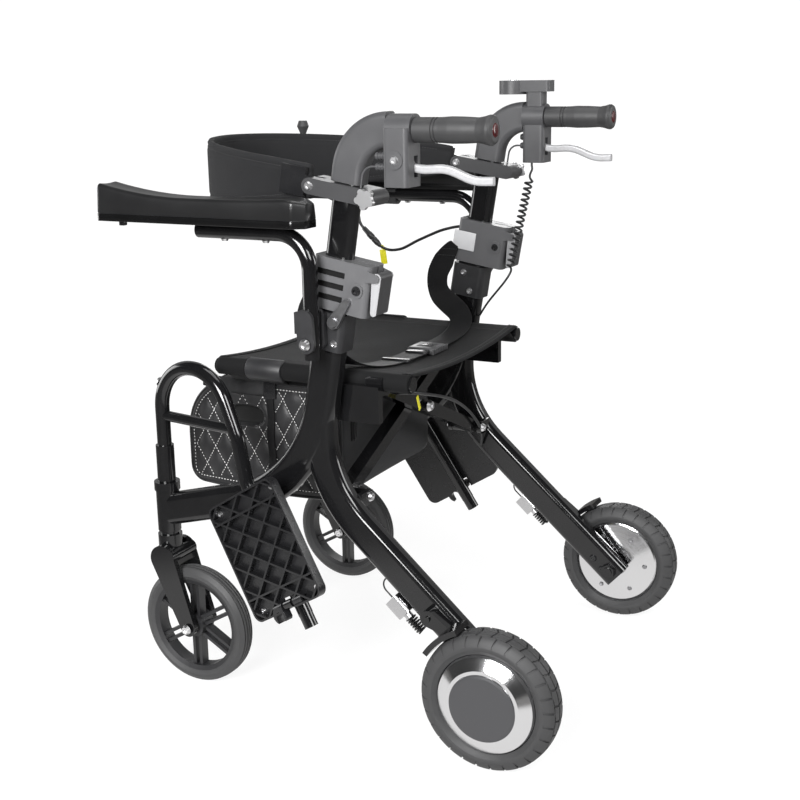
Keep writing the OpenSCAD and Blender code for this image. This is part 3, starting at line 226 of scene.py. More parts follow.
def studio_sweep():
    """One sheet: flat under the chair and curved up behind it."""
    far, bend, tall = 2.6, 1.2, 3.2
    profile = [(-4.0, 0.0), (far - bend, 0.0)]
    profile += [(far - bend + bend * math.sin(a), bend - bend * math.cos(a)) for a in degrees(10, 91, 10)]
    profile += [(far, tall)]
    turn = Matrix.Rotation(math.radians(CAMERA_TURN[0]), 4, "Z")
    points = [turn @ Vector((x, d, z - FLOOR_GAP)) for d, z in profile for x in (-6.0, 6.0)]
    faces = [(2 * i, 2 * i + 1, 2 * i + 3, 2 * i + 2) for i in range(len(profile) - 1)]
    return piece("sweep", points, faces)


sweep = studio_sweep()
print("sweep:", len(sweep.data.polygons), "faces")

# %% Paper
GLOW, GLOW_SHARE = 1.35, 0.62
MIRROR_SHARE = 0.85
MIRROR_ROOM, MIRROR_WALL, MIRROR_FLOOR = (0.11, 0.105, 0.10), (0.50, 0.50, 0.50), (0.95, 0.94, 0.93)

paper = Finish("studio_paper", base_color=(0.5, 0.5, 0.5, 1.0), roughness=0.9)
_, x, y, z = paper.place()
floor = ((1.0 - (x * x + y * y).root()) * 5.0).most(0.0).least(1.0)
wall = ((z - 0.5) * 1.2).most(0.0).least(1.0)
tone = paper.blend(floor, paper.blend(wall, MIRROR_ROOM, MIRROR_WALL), MIRROR_FLOOR)
glow = paper.node("ShaderNodeEmission", None, {"Color": (1, 1, 1, 1), "Strength": GLOW})
dim = paper.node("ShaderNodeEmission", None, {"Color": tone, "Strength": 1.0})
mixed = Wire(paper, paper.shader.outputs[0])
for ray, share, light in (("Is Camera Ray", GLOW_SHARE, glow), ("Is Glossy Ray", MIRROR_SHARE, dim)):
    factor = paper.node("ShaderNodeLightPath", out=ray) * share
    mixed = paper.node("ShaderNodeMixShader", None, {0: factor, 1: mixed, 2: light})
paper.plug(paper.tree.nodes["Material Output"].inputs["Surface"], mixed)
sweep.data.materials.append(paper.material)
print("paper:", paper.material.name)

# %% World and lamps
ROOM_LIGHT = 0.05
LAMPS = {
    "key": ((2.7, 0.2, 1.6), 1.2, 130),
    "rear": ((1.4, 2.5, 2.0), 1.1, 46),
    "top": ((-0.2, 0.1, 2.9), 1.5, 26),
    "far": ((-2.4, -0.9, 0.8), 1.3, 24),
    "front": ((0.3, -2.8, 0.8), 1.4, 24),
    "rear_far": ((-1.7, 2.3, 1.1), 1.2, 26),
}
AIM = Vector((0, 0, 0.45))

world = bpy.data.worlds.new("studio")
scene.world = world
world.use_nodes = True
sky = world.node_tree
lit = sky.nodes["Background"]
white, eye, either = (sky.nodes.new("ShaderNode" + kind) for kind in ("Background", "LightPath", "MixShader"))
for background, strength in ((lit, ROOM_LIGHT), (white, 1.0)):
    background.inputs["Color"].default_value = (1, 1, 1, 1)
    background.inputs["Strength"].default_value = strength
for socket, source in enumerate((eye.outputs["Is Camera Ray"], lit.outputs[0], white.outputs[0])):
    sky.links.new(source, either.inputs[socket])
sky.links.new(either.outputs[0], sky.nodes["World Output"].inputs["Surface"])

for name, (place, size, power) in LAMPS.items():
    lamp = bpy.data.objects.new("lamp_" + name, bpy.data.lights.new("lamp_" + name, "AREA"))
    lamp.data.size, lamp.data.energy = size, power
    lamp.location = place
    lamp.rotation_euler = (Vector(place) - AIM).to_track_quat("Z", "Y").to_euler()
    scene.collection.objects.link(lamp)
print("lamps:", list(LAMPS))

# %% [markdown]
# ## Finishes of the rigid pieces
# Gloss paint shows a faint orange peel, and moulded plastic a fine sand-blasted grain. Spun aluminium has
# rings about its axle, drawn from the distance to the axle, so one finish fits both wheels. Some CAD nodes
# have two materials in one piece. A mask by the place on the chair parts them: the cheeks of the clamp
# lever, the spring of the brake adjuster, the star knob of the backrest arm and the cap of the hub. The slots
# of the post clamp are painted near black by a mask too, as painted shade in their hollows.


# %% Paint, plastic and rubber
def mottled(name, dark, light, rough, cloud, grain, relief, **sockets):
    """A cloudy tone under a fine grain.

    rough is the least roughness and its spread. cloud and grain are each a scale and a detail of noise.
    relief is the depth of the grain in metres and its strength.
    """
    made = Finish(name, **sockets)
    spot, *_ = made.place()
    tone = made.noise(spot, *cloud)
    made.set("Base Color", made.blend(tone, dark, light))
    made.set("Roughness", tone * rough[1] + rough[0])
    made.bump(made.noise(spot, *grain), *relief)
    return made


def moulded(name, dark, light, rough, grain=1500.0):
    """Injection-moulded plastic: sand-blasted grain and a cloudy tone."""
    return mottled(name, dark, light, (rough - 0.08, 0.16), (40.0, 3.0), (grain, 3.0), (0.00016, 0.6))


paint = mottled("black_paint", (0.004, 0.004, 0.0045), (0.008, 0.008, 0.0085), (0.07, 0.1), (26.0, 4.0),
                (420.0, 2.0), (0.00004, 0.12), coat_weight=0.15, coat_roughness=0.05)
charcoal = moulded("charcoal_plastic", (0.014, 0.014, 0.015), (0.022, 0.022, 0.024), 0.44)
slate = moulded("slate_plastic", (0.050, 0.050, 0.053), (0.066, 0.066, 0.069), 0.42)
plate_pale = moulded("plate_pale", (0.55, 0.55, 0.56), (0.64, 0.64, 0.65), 0.4, 500.0)
ribbed = moulded("footplate_plastic", (0.008, 0.008, 0.009), (0.014, 0.014, 0.015), 0.28, 700.0)
gloss = moulded("gloss_plastic", (0.010, 0.010, 0.011), (0.017, 0.017, 0.018), 0.2, 500.0)
rubber = moulded("soft_rubber", (0.026, 0.026, 0.027), (0.037, 0.037, 0.038), 0.52, 900.0)
rear_rubber = moulded("rear_rubber", (0.029, 0.029, 0.030), (0.042, 0.042, 0.043), 0.58, 700.0)
caster_wall = moulded("caster_rubber", (0.034, 0.034, 0.035), (0.048, 0.048, 0.049), 0.55, 700.0)
print("paint, plastic and rubber:", len(bpy.data.materials), "materials")

# %% Post clamp and its lever
WAIST_Y, WAIST_Z, LEAN = -0.00345, 0.481, math.radians(9.5)
SLOT_X, SLOT_UP, SLOT_END = (0.2585, 0.2614), (0.152, 0.198), 0.0222
LEVER_X, LEVER_HALF = 0.240, 0.0168

clamp_grey = Finish("clamp_grey")
spot, x, y, z = clamp_grey.place()
across = (y - WAIST_Y) * math.cos(LEAN) - (z - WAIST_Z) * math.sin(LEAN)
up = (y - WAIST_Y) * math.sin(LEAN) + (z - WAIST_Z) * math.cos(LEAN)
# Painted shade: the floors of the clamp's slots are coloured near black, where shade falls in the hollows.
clamp_slot_shade = (x.size() > SLOT_X[0]) * (x.size() < SLOT_X[1]) * (across < SLOT_END)
clamp_slot_shade = clamp_slot_shade * (up > SLOT_UP[0]) * (up < SLOT_UP[1])
cloud = clamp_grey.noise(spot, 40.0, 3.0)
moulding = clamp_grey.blend(cloud, (0.090, 0.090, 0.094), (0.118, 0.118, 0.122))
clamp_grey.set("Base Color", clamp_grey.blend(clamp_slot_shade, moulding, (0.0008, 0.0008, 0.0009)))
clamp_grey.set("Roughness", cloud * 0.14 + clamp_slot_shade * 0.6 + 0.26)
clamp_grey.bump(clamp_grey.noise(spot, 1500.0, 3.0), 0.00014, 0.5)

lever_face = Finish("lever_face")
spot, x, *_ = lever_face.place()
cheek = (x.size() - LEVER_X).size() > LEVER_HALF
cloud = lever_face.noise(spot, 90.0, 3.0)
two_tone = lever_face.blend(cheek, (0.038, 0.038, 0.040), (0.38, 0.38, 0.39))
lever_face.set("Base Color", lever_face.blend(cloud * 0.2, two_tone, (0.10, 0.10, 0.10)))
lever_face.set("Roughness", cloud * 0.12 + 0.26)
lever_face.bump(cloud, 0.0001, 0.4)
print("masked:", clamp_grey.material.name, lever_face.material.name)

# %% Metals
AXLE_Y, AXLE_Z, LEG_SLOPE = 0.27755, 0.1, math.radians(41.884)
SPRING, KNOB_X = (0.1576, 0.1962), 0.2623
CAP_R, CAP_X, HUB_BACK = 0.0487, 0.305, 0.28

alloy = mottled("lever_alloy", (0.40, 0.40, 0.41), (0.50, 0.50, 0.51), (0.28, 0.16), (180.0, 4.0),
                (180.0, 4.0), (0.00008, 0.4), metallic=0.35)
cast = mottled("cast_lever", (0.28, 0.28, 0.29), (0.42, 0.42, 0.43), (0.24, 0.2), (240.0, 4.0),
               (240.0, 4.0), (0.0001, 0.4), metallic=1.0)

silver = Finish("satin_silver", base_color=(0.82, 0.82, 0.83, 1.0), metallic=1.0)
spot, *_ = silver.place()
drawn = silver.noise(spot, 300.0, 3.0, (1.0, 0.08, 1.0))
silver.set("Roughness", drawn * 0.22 + 0.2)
silver.bump(drawn, 0.00006, 0.4)

adjuster = Finish("adjuster_and_spring")
spot, _, y, z = adjuster.place()
climb = (AXLE_Y - y) * math.cos(LEG_SLOPE) + (z - AXLE_Z) * math.sin(LEG_SLOPE)
black = (climb < SPRING[0]).most(climb > SPRING[1])
drawn = adjuster.noise(spot, 300.0, 3.0)
adjuster.set("Base Color", adjuster.blend(black, (0.60, 0.60, 0.61), (0.008, 0.008, 0.0085)))
adjuster.set("Metallic", 1 - black)
adjuster.set("Roughness", drawn * 0.16 + 0.22)
adjuster.bump(drawn, 0.00006, 0.4)

link = Finish("link_and_knob")
spot, x, *_ = link.place()
knob = x.size() > KNOB_X
grain = link.noise(spot, 1500.0, 3.0)
link.set("Base Color", link.blend(knob, (0.045, 0.045, 0.047), (0.76, 0.76, 0.77)))
link.set("Metallic", knob)
link.set("Roughness", grain * 0.12 + 0.28)
link.bump(grain, 0.00012, 0.5)

hub = Finish("spun_hub")
spot, x, y, z = hub.place()
dy, dz = y - AXLE_Y, z - AXLE_Z
radius = (dy * dy + dz * dz).root()
cap = (radius < CAP_R) * (x.size() > CAP_X)
spun = hub.noise(hub.node("ShaderNodeCombineXYZ", None, {0: radius, 1: x * 0.2}), 2400.0, 2.0)
cloud = hub.noise(spot, 60.0)
hub.set("Base Color", hub.blend(cap, (0.74, 0.74, 0.75), (0.046, 0.046, 0.049)))
hub.set("Metallic", 1 - cap)
hub.set("Roughness", cap * 0.3 + spun * 0.10 * (1 - cap) + cloud * 0.05 + 0.06)
hub.bump(spun * (1 - cap) * ((x.size() < HUB_BACK) + 1), 0.00008, 0.4)
print("metals:", silver.material.name, hub.material.name)

# %% Dress the CAD nodes
DRESS = {
    paint: ("side_frame", "handle_post", "armrest_tube", "footrest_hanger", "caster_fork", "brake_shoe",
            "brace_a", "brace_b"),
    ribbed: ("footplate",),
    charcoal: ("armrest_bracket", "caster_rim", "joystick_box", "battery"),
    slate: ("handle_elbow", "brake_housing", "control_pod"),
    gloss: ("backrest_plate",),
    clamp_grey: ("post_clamp",),
    lever_face: ("clamp_lever",),
    cast: ("armrest_lever",),
    adjuster: ("brake_adjuster",),
    link: ("backrest_arm",),
    alloy: ("brake_lever",),
    silver: ("control_button", "joystick_gimbal"),
    hub: ("hub_motor",),
    rubber: ("grip", "joystick_stick", "coil_cord", "joystick_cable"),
    rear_rubber: ("rear_tyre",),
    caster_wall: ("caster_tyre",),
}
FABRIC = Finish("plain_cloth", base_color=(0.014, 0.014, 0.015, 1.0), roughness=0.85)

for name, node in nodes.items():
    stem = name.removesuffix("_left").removesuffix("_right")
    finish = next((finish for finish, stems in DRESS.items() if stem in stems), FABRIC)
    node.data.materials.clear()
    node.data.materials.append(finish.material)
print("dressed", len(nodes), "nodes")

# %% [markdown]
# ## Shapes from rows of points
# Webbing, cords, hems and cushions are all swept or lofted forms. One function joins rows of points and
# gives every corner a UV in metres, so that a weave keeps its size on each piece. A second one sweeps a
# round cord along a path, and turns each ring with the path instead of twisting it.


# %% Lofts
def loft(name, rows, finish, ring=False, caps=False):
    """A surface through rows of points. A ring closes each row on itself, and caps close the two ends."""
    count, wide = len(rows), len(rows[0])
    across = wide if ring else wide - 1
    faces, corners = [], []
    for i in range(count - 1):
        for j in range(across):
            k = (j + 1) % wide
            faces.append((i * wide + j, i * wide + k, (i + 1) * wide + k, (i + 1) * wide + j))
            corners += [(i, j), (i, j + 1), (i + 1, j + 1), (i + 1, j)]
    ends = [tuple(range(wide))[::-1], tuple(range((count - 1) * wide, count * wide))] if caps else []
    made = piece(name, [p for row in rows for p in row], faces + ends, finish)
    level = [[0.0] for _ in rows]
    for i, row in enumerate(rows):
        for j in range(across):
            level[i].append(level[i][j] + (Vector(row[(j + 1) % wide]) - Vector(row[j])).length)
    down = [0.0]
    for i in range(count - 1):
        down.append(down[i] + (Vector(rows[i + 1][wide // 2]) - Vector(rows[i][wide // 2])).length)
    layer = made.data.uv_layers.new(name="UVMap")
    for corner, (i, j) in enumerate(corners):
        layer.data[corner].uv = (level[i][j], down[i])
    if caps:
        outward(made)
    return made


def outward(made):
    """Turns every face of a closed mesh outwards."""
    mesh = bmesh.new()
    mesh.from_mesh(made.data)
    bmesh.ops.recalc_face_normals(mesh, faces=mesh.faces)
    mesh.to_mesh(made.data)
    mesh.free()
    return made


# %% Paths and tubes
def curve_through(points, steps):
    """A smooth path through points, with a number of steps to each span."""
    p = [Vector(v) for v in points]
    path = []
    for i in range(len(p) - 1):
        a, b, c, d = p[max(i - 1, 0)], p[i], p[i + 1], p[min(i + 2, len(p) - 1)]
        for k in range(steps):
            t = k / steps
            bend = 2 * a - 5 * b + 4 * c - d + t * (3 * (b - c) + d - a)
            path.append(b + 0.5 * t * (c - a + t * bend))
    return path + [p[-1]]


def path_length(path):
    """Length of a path through points."""
    return sum((b - a).length for a, b in zip(path, path[1:]))


def tube(name, path, radius, sides, finish):
    """A round cord along a path. Its radius is one number, or one for each point."""
    radii = radius if isinstance(radius, list) else [radius] * len(path)
    rows, side = [], None
    for i, point in enumerate(path):
        ahead = (path[min(i + 1, len(path) - 1)] - path[max(i - 1, 0)]).normalized()
        side = side or ahead.orthogonal()
        side = (side - ahead * side.dot(ahead)).normalized()
        up = ahead.cross(side)
        rows.append([point + radii[i] * (math.cos(a) * side + math.sin(a) * up) for a in circle(sides)])
    return loft(name, rows, finish, ring=True, caps=True)


# %% Plain meshes
def settle(made):
    """Makes what an object's modifiers give into its own plain mesh."""
    graph = bpy.context.evaluated_depsgraph_get()
    mesh = bpy.data.meshes.new_from_object(made.evaluated_get(graph))
    made.modifiers.clear()
    made.data = mesh
    return made


def thicken(made, thickness):
    """Gives a sheet its thickness, half to each side."""
    wall = made.modifiers.new("wall", "SOLIDIFY")
    wall.thickness, wall.offset = thickness, 0.0
    return outward(settle(made))


# %% [markdown]
# ## Stitches and screws with Geometry Nodes
# A seam is a line of the same stitch, and a panel's fasteners are one screw in several places. Both trees
# put a small mesh on points: stitches on a resampled line, turned along it, and screws on points that carry
# their own direction and size. Instances are made real and then plain, because a finished piece has no live
# modifier.


# %% A tree with named sizes
def tree_of(name, sizes, build):
    """A Geometry Nodes tree with named sizes. build adds the nodes and returns the last geometry socket."""
    tree = bpy.data.node_groups.new(name, "GeometryNodeTree")
    tree.interface.new_socket("Geometry", in_out="INPUT", socket_type="NodeSocketGeometry")
    for size in sizes:
        tree.interface.new_socket(size, in_out="INPUT", socket_type="NodeSocketFloat")
    tree.interface.new_socket("Material", in_out="INPUT", socket_type="NodeSocketMaterial")
    tree.interface.new_socket("Geometry", in_out="OUTPUT", socket_type="NodeSocketGeometry")
    inputs, output = tree.nodes.new("NodeGroupInput"), tree.nodes.new("NodeGroupOutput")

    def node(kind, settings, **links):
        made = tree.nodes.new(kind)
        for key, value in settings.items():
            setattr(made, key, value)
        for key, value in links.items():
            socket = made.inputs[key.replace("_", " ")]
            if isinstance(value, bpy.types.NodeSocket):
                tree.links.new(value, socket)
            else:
                socket.default_value = value
        return made

    last = build(node, inputs.outputs)
    real = node("GeometryNodeRealizeInstances", {}, Geometry=last)
    shaded = node("GeometryNodeSetMaterial", {}, Geometry=real.outputs[0],
                  Material=inputs.outputs["Material"])
    tree.links.new(shaded.outputs[0], output.inputs[0])
    return tree


def run_tree(made, tree, finish, **sizes):
    """Runs a tree on an object with these sizes, and keeps the plain mesh it gives."""
    modifier = made.modifiers.new(tree.name, "NODES")
    modifier.node_group = tree
    for socket in tree.interface.items_tree:
        if socket.in_out == "INPUT" and socket.name in sizes:
            modifier[socket.identifier] = sizes[socket.name]
        if socket.in_out == "INPUT" and socket.name == "Material":
            modifier[socket.identifier] = finish.material
    return settle(made)


# %% Stitches
def stitch_nodes(node, given):
    """A long bead at every pitch of a line, turned along it."""
    line = node("GeometryNodeMeshToCurve", {}, Mesh=given["Geometry"])
    spaced = node("GeometryNodeResampleCurve", {"mode": "LENGTH"}, Curve=line.outputs[0],
                  Length=given["Pitch"])
    way = node("GeometryNodeInputTangent", {})
    turn = node("FunctionNodeAlignRotationToVector", {"axis": "X"}, Vector=way.outputs[0])
    bead = node("GeometryNodeMeshUVSphere", {}, Segments=6, Rings=4, Radius=0.5)
    size = node("ShaderNodeCombineXYZ", {}, X=given["Length"], Y=given["Width"], Z=given["Width"])
    smooth = node("GeometryNodeSetShadeSmooth", {}, Geometry=bead.outputs[0])
    put = node("GeometryNodeInstanceOnPoints", {}, Points=spaced.outputs[0], Instance=smooth.outputs[0],
               Rotation=turn.outputs[0], Scale=size.outputs[0])
    return put.outputs[0]


STITCH_TREE = tree_of("stitches", ("Pitch", "Length", "Width"), stitch_nodes)


def stitches(name, lines, finish, pitch=0.0042, length=0.003, width=0.0009):
    """Rows of stitches along paths."""
    points, edges = [], []
    for line in lines:
        start = len(points)
        points += line
        edges += [(start + i, start + i + 1) for i in range(len(line) - 1)]
    made = piece(name, points, [], edges=edges)
    return run_tree(made, STITCH_TREE, finish, Pitch=pitch, Length=length, Width=width)


# %% [markdown]
# ## Cloth finishes
# All weaves read the UV map, which is in metres, so a thread is the same size on every piece. Two sine
# waves cross for a plain weave, and slanted ones make the ribs of webbing. A little sheen gives the pale
# edge of dull cloth. The armrest pad has a mask like those above, which parts the foam from its tray.


# %% Weaves
def woven(name, dark, light, thread, slant=0.0, rough=0.82):
    """Plain weave, or ribs on a slant, with the thread's width in metres."""
    cloth = Finish(name, sheen_weight=0.02, sheen_roughness=0.5)
    cloth.set("Specular IOR Level", 0.14)
    u, v, _ = cloth.split(cloth.node("ShaderNodeUVMap", {"uv_map": "UVMap"}))
    turns = math.pi / thread
    warp = ((u + v * slant) * turns).wave()
    weft = ((v - u * slant) * turns).wave()
    weave = warp * weft * 0.5 + 0.5
    spot, *_ = cloth.place()
    fuzz = cloth.noise(spot, 900.0)
    cloud = cloth.noise(spot, 18.0, 3.0)
    cloth.set("Base Color", cloth.blend(weave * 0.6 + cloud * 0.4, dark, light))
    cloth.set("Roughness", fuzz * 0.14 + (rough - 0.07))
    cloth.bump(weave + fuzz * 0.3, 0.00022, 0.7)
    return cloth


seat_cloth = woven("seat_cloth", (0.005, 0.005, 0.0054), (0.010, 0.010, 0.0104), 0.0009)
band_cloth = woven("band_cloth", (0.012, 0.012, 0.013), (0.021, 0.021, 0.022), 0.0007)
bag_cloth = woven("bag_cloth", (0.022, 0.022, 0.023), (0.042, 0.042, 0.043), 0.0011)
belt_web = woven("belt_webbing", (0.005, 0.005, 0.0055), (0.012, 0.012, 0.0125), 0.0016, 0.7, 0.5)
print("woven:", [made.material.name for made in (seat_cloth, band_cloth, bag_cloth, belt_web)])

# %% Leatherette, foam and small finishes
TRAY_TOP = 0.7457

leather = Finish("quilted_leatherette")
spot, *_ = leather.place()
cloud = leather.noise(spot, 30.0, 3.0)
leather.set("Base Color", leather.blend(cloud, (0.014, 0.014, 0.015), (0.026, 0.026, 0.027)))
leather.set("Roughness", cloud * 0.14 + 0.32)
leather.bump(leather.cells(spot, 620.0), 0.0002, 0.5)

pad_skin = Finish("pad_skin")
spot, *_, z = pad_skin.place()
tray = z < TRAY_TOP
cloud = pad_skin.noise(spot, 22.0, 3.0)
foam = pad_skin.blend(cloud, (0.007, 0.007, 0.0075), (0.012, 0.012, 0.0125))
pad_skin.set("Base Color", pad_skin.blend(tray, foam, (0.003, 0.003, 0.0032)))
pad_skin.set("Roughness", cloud * 0.16 + 0.26 - tray * 0.10)
pad_skin.bump(pad_skin.cells(spot, 900.0) * (1 - tray), 0.0001, 0.35)

black_thread = moulded("black_thread", (0.02, 0.02, 0.021), (0.04, 0.04, 0.041), 0.6, 2200.0)
pale_thread = moulded("pale_thread", (0.80, 0.80, 0.79), (0.90, 0.90, 0.89), 0.55, 2200.0)
tag_yellow = moulded("tag_yellow", (0.72, 0.66, 0.01), (0.82, 0.76, 0.02), 0.45, 400.0)
lens_red = moulded("lens_red", (0.045, 0.003, 0.004), (0.070, 0.004, 0.005), 0.16, 300.0)
# Painted shade: a near-black finish for the inside of the bag's hand slot, where shade falls in the opening.
bag_slot_shade = moulded("dark_opening", (0.0016, 0.0016, 0.0017), (0.0024, 0.0024, 0.0025), 0.8, 600.0)
sheath = moulded("cord_sheath", (0.012, 0.012, 0.013), (0.019, 0.019, 0.02), 0.36, 1800.0)
print("materials:", len(bpy.data.materials))

# %% [markdown]
# ## Cords
# A curly cord hangs from the right brake housing and ends on the side frame, and a straight cable runs from
# the joystick through an in-line plug to the right post clamp. Both follow the CAD route, with finer rings,
# and both end on the object.


# %% Curly cord
MM = 0.001
ARM_Y, ARM_Z = 0.00845, 0.724


def post_y(z):
    """Where the middle of the leaning post is, at a height."""
    return WAIST_Y + math.tan(LEAN) * (z - WAIST_Z)


def helix(a, b, radius, curls, steps):
    """A coil round the line from a to b."""
    ahead = (b - a).normalized()
    u = ahead.cross(Vector((0.3, 1, 0.2))).normalized()
    v = ahead.cross(u)
    turns = [2 * math.pi * i / steps for i in range(curls * steps + 1)]
    return [a + (b - a) * (i / (curls * steps)) + radius * (math.cos(t) * u + math.sin(t) * v)
            for i, t in enumerate(turns)]


def ease(path, first, last, rounds):
    """Rounds the corners of a path between two of its points."""
    for _ in range(rounds):
        for i in range(first, last):
            path[i] = (path[i - 1] + path[i] * 2 + path[i + 1]) / 4


CORD_D, CURLS, STEPS = 3.6 * MM, 17, 20
cord_top = Vector((-228, 128.73, 787.7)) * MM
cord_low = Vector((-232, 29.9, 527)) * MM
coil_a, coil_b = Vector((-210, 132.73, 766)) * MM, Vector((-206, 99.47, 612)) * MM
backward = Vector((0, math.cos(LEAN), -math.sin(LEAN)))
coil = helix(coil_a, coil_b, 5.7 * MM, CURLS, STEPS)[5:-5]
lead = curve_through([cord_top - Vector((0, 0, CORD_D)), cord_top + Vector((2, 1, -12)) * MM, coil[0]], 8)
tail = curve_through([coil[-1], coil_b + Vector((4, -8, -20)) * MM, cord_low + backward * 0.024
                      + Vector((8, 0, 30)) * MM, cord_low + backward * CORD_D], 12)
cord_path = [cord_top] + lead[:-1] + coil + tail[1:] + [cord_low]
for joint in (len(lead), len(lead) + len(coil) - 1):
    ease(cord_path, joint - 7, joint + 8, 40)
curly = tube("curly_cord", cord_path, CORD_D / 2, 10, sheath)
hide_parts("coil_cord")
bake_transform(curly)
print("curly cord:", round(path_length(cord_path), 3), "m")

# %% Joystick cable
CABLE_D = 5 * MM
cable_x = -228 * MM
clip_z = ARM_Z - 46 * MM
joy = Vector((-300, -350.55, 750)) * MM
cable_exit = joy + Vector((23.3, 0, 15)) * MM
clip = Vector((-0.234, post_y(clip_z) - 0.030 / math.cos(LEAN) - 0.0003, clip_z))
hang_mm = [(-4, -289, 4), (0, -215, -22), (0, -200, -51), (-1, -161, -87), (-3, -128, -90), (-6, -92, -73),
           (-6, -53, -56)]
way = [cable_exit + Vector((CABLE_D, 0, 0)), cable_exit + Vector((22, 18, -8)) * MM]
way += [Vector((cable_x + dx * MM, ARM_Y + dy * MM, ARM_Z + dz * MM)) for dx, dy, dz in hang_mm]
way += [clip - Vector((0, 20, 3)) * MM, clip - Vector((0, CABLE_D, 0))]
cable_path = [cable_exit] + curve_through(way, 10) + [clip]
cable = tube("joystick_lead", cable_path, CABLE_D / 2, 14, sheath)
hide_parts("joystick_cable")
print("joystick cable:", round(path_length(cable_path), 3), "m")


# %% Plug and tag
def along(path, share):
    """The point at a share of a path's length, and the way the path runs there."""
    left = share * path_length(path)
    for a, b in zip(path, path[1:]):
        if left <= (b - a).length:
            return a.lerp(b, left / (b - a).length), (b - a).normalized()
        left -= (b - a).length
    return path[-1], (path[-1] - path[-2]).normalized()


def slab(name, centre, size, finish, tilt=0.0, turn=0.0, bevel=0.0):
    """A box with rounded edges, tilted about x and then turned about z."""
    mesh = bmesh.new()
    bmesh.ops.create_cube(mesh, size=1.0)
    bmesh.ops.scale(mesh, vec=size, verts=mesh.verts)
    if bevel:
        bmesh.ops.bevel(mesh, geom=mesh.edges[:], offset=bevel, segments=3, profile=0.5, affect="EDGES")
    place = Matrix.Translation(centre) @ Matrix.Rotation(turn, 4, "Z") @ Matrix.Rotation(tilt, 4, "X")
    mesh.transform(place)
    made = piece(name, [], [], finish)
    mesh.to_mesh(made.data)
    mesh.free()
    made.data.shade_smooth()
    made.data.set_sharp_from_angle(angle=math.radians(40))
    return made


TAG_SHARE, TAG_LOOP_R = 0.62, 0.0034

plug_from = Vector((cable_x, ARM_Y - 0.197, ARM_Z - 0.054))
plug_to = Vector((cable_x, ARM_Y - 0.163, ARM_Z - 0.086))
plug_form = [(0, 2.7), (0.03, 4.2), (0.3, 4.8), (0.33, 5.6), (0.52, 5.6), (0.55, 4.6), (0.58, 4.6),
             (0.61, 5.4), (0.8, 5.2), (0.97, 3.4), (1, 2.7)]
plug_path = [plug_from.lerp(plug_to, t) for t, _ in plug_form]
plug = tube("lead_plug", plug_path, [r * MM for _, r in plug_form], 20, sheath)
tag_at, _ = along(cable_path, TAG_SHARE)
tag = slab("lead_tag", tag_at + Vector((0, 0.002, -0.017)), (0.001, 0.011, 0.026), tag_yellow, 0.12, 0.5,
           0.0004)
ring = [tag_at + Vector((0.0012 * math.sin(a), TAG_LOOP_R * math.cos(a), TAG_LOOP_R * math.sin(a)))
        for a in circle(24)]
loop = tube("lead_tag_loop", ring + ring[:1], 0.0007, 8, tag_yellow)
for made in (cable, plug, tag, loop):
    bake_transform(made)
print("on the cable:", plug.name, tag.name, loop.name)

# %% [markdown]
# ## Sling seat
# The seat is one strip of woven nylon. Its sides are sewn into sleeves that slip over the two seat rails,
# and its front and back edges are hemmed. The strip sags between the rails. The sleeves are cut away where
# the brace bars meet the rails.

# %% Seat profile
RAIL_X, RAIL_Z, SLEEVE_R, SAG = 0.196, 0.507, 0.0125, 0.013
SEAT_FRONT, SEAT_BACK, BRACE_Y = -0.20845, 0.11555, 0.02055
SEAT_DEPTH = SEAT_BACK - SEAT_FRONT
SEAT_T, SEAM_IN, STITCH_IN = 0.0024, 0.030, 0.027


def seat_height(x):
    """Top of the strip, which sags between the rails."""
    return RAIL_Z + SLEEVE_R - SAG * (1 - (x / RAIL_X) ** 2)


def slack(x):
    """How slack the cloth is: 0 where it is sewn to a sleeve, and 1 in the middle."""
    return max(0.0, 1 - (x / (RAIL_X - SEAM_IN)) ** 2)


def dip(x, y):
    """How much further the cloth drops away from its hems."""
    return 0.002 * math.sin(math.pi * (y - SEAT_FRONT) / SEAT_DEPTH) * slack(x)


def half_profile(steps=30):
    """x, z of the strip from the seam under the seat, round a rail, to the middle of the seat."""
    seam = [(RAIL_X - SEAM_IN, RAIL_Z + 0.0062), (RAIL_X - 0.024, RAIL_Z + 0.0046),
            (RAIL_X - 0.018, RAIL_Z + 0.0005)]
    sleeve = [(RAIL_X + SLEEVE_R * math.cos(a), RAIL_Z + SLEEVE_R * math.sin(a))
              for a in degrees(200, 451, 10)]
    sheet = [RAIL_X * (1 - i / steps) for i in range(1, steps + 1)]
    return seam + sleeve + [(x, seat_height(x)) for x in sheet]


def sling_rows(steps=72):
    """Rows of the strip from front to back, with a few slight puckers."""
    half = half_profile()
    profile = half + [(-x, z) for x, z in half[-2::-1]]
    rows = []
    for i in range(steps + 1):
        y = SEAT_FRONT + SEAT_DEPTH * i / steps
        rows.append([(x, y, z - dip(x, y) - 0.0005 * slack(x) * math.sin(46 * x + 3) * math.sin(61 * y + 2))
                     for x, z in profile])
    return rows


print("profile:", len(half_profile()), "points on each side")

# %% Seat fabric
sling = loft("seat_sling_cloth", sling_rows(), seat_cloth)
cut = bmesh.new()
cut.from_mesh(sling.data)
gone = []
for face in cut.faces:
    x, y, z = face.calc_center_median()
    if abs(y - BRACE_Y) < 0.028 and RAIL_X - 0.021 < abs(x) < RAIL_X + 0.008 and z < RAIL_Z + 0.0085:
        gone.append(face)
bmesh.ops.delete(cut, geom=gone, context="FACES")
cut.to_mesh(sling.data)
cut.free()
thicken(sling, SEAT_T)


# %% Hems and stitches
def seat_line(y, lift, steps=80):
    """A path across the seat, a little above the cloth."""
    xs = [RAIL_X * (2 * k / steps - 1) for k in range(steps + 1)]
    return [Vector((x, y, seat_height(x) + lift - dip(x, y))) for x in xs]


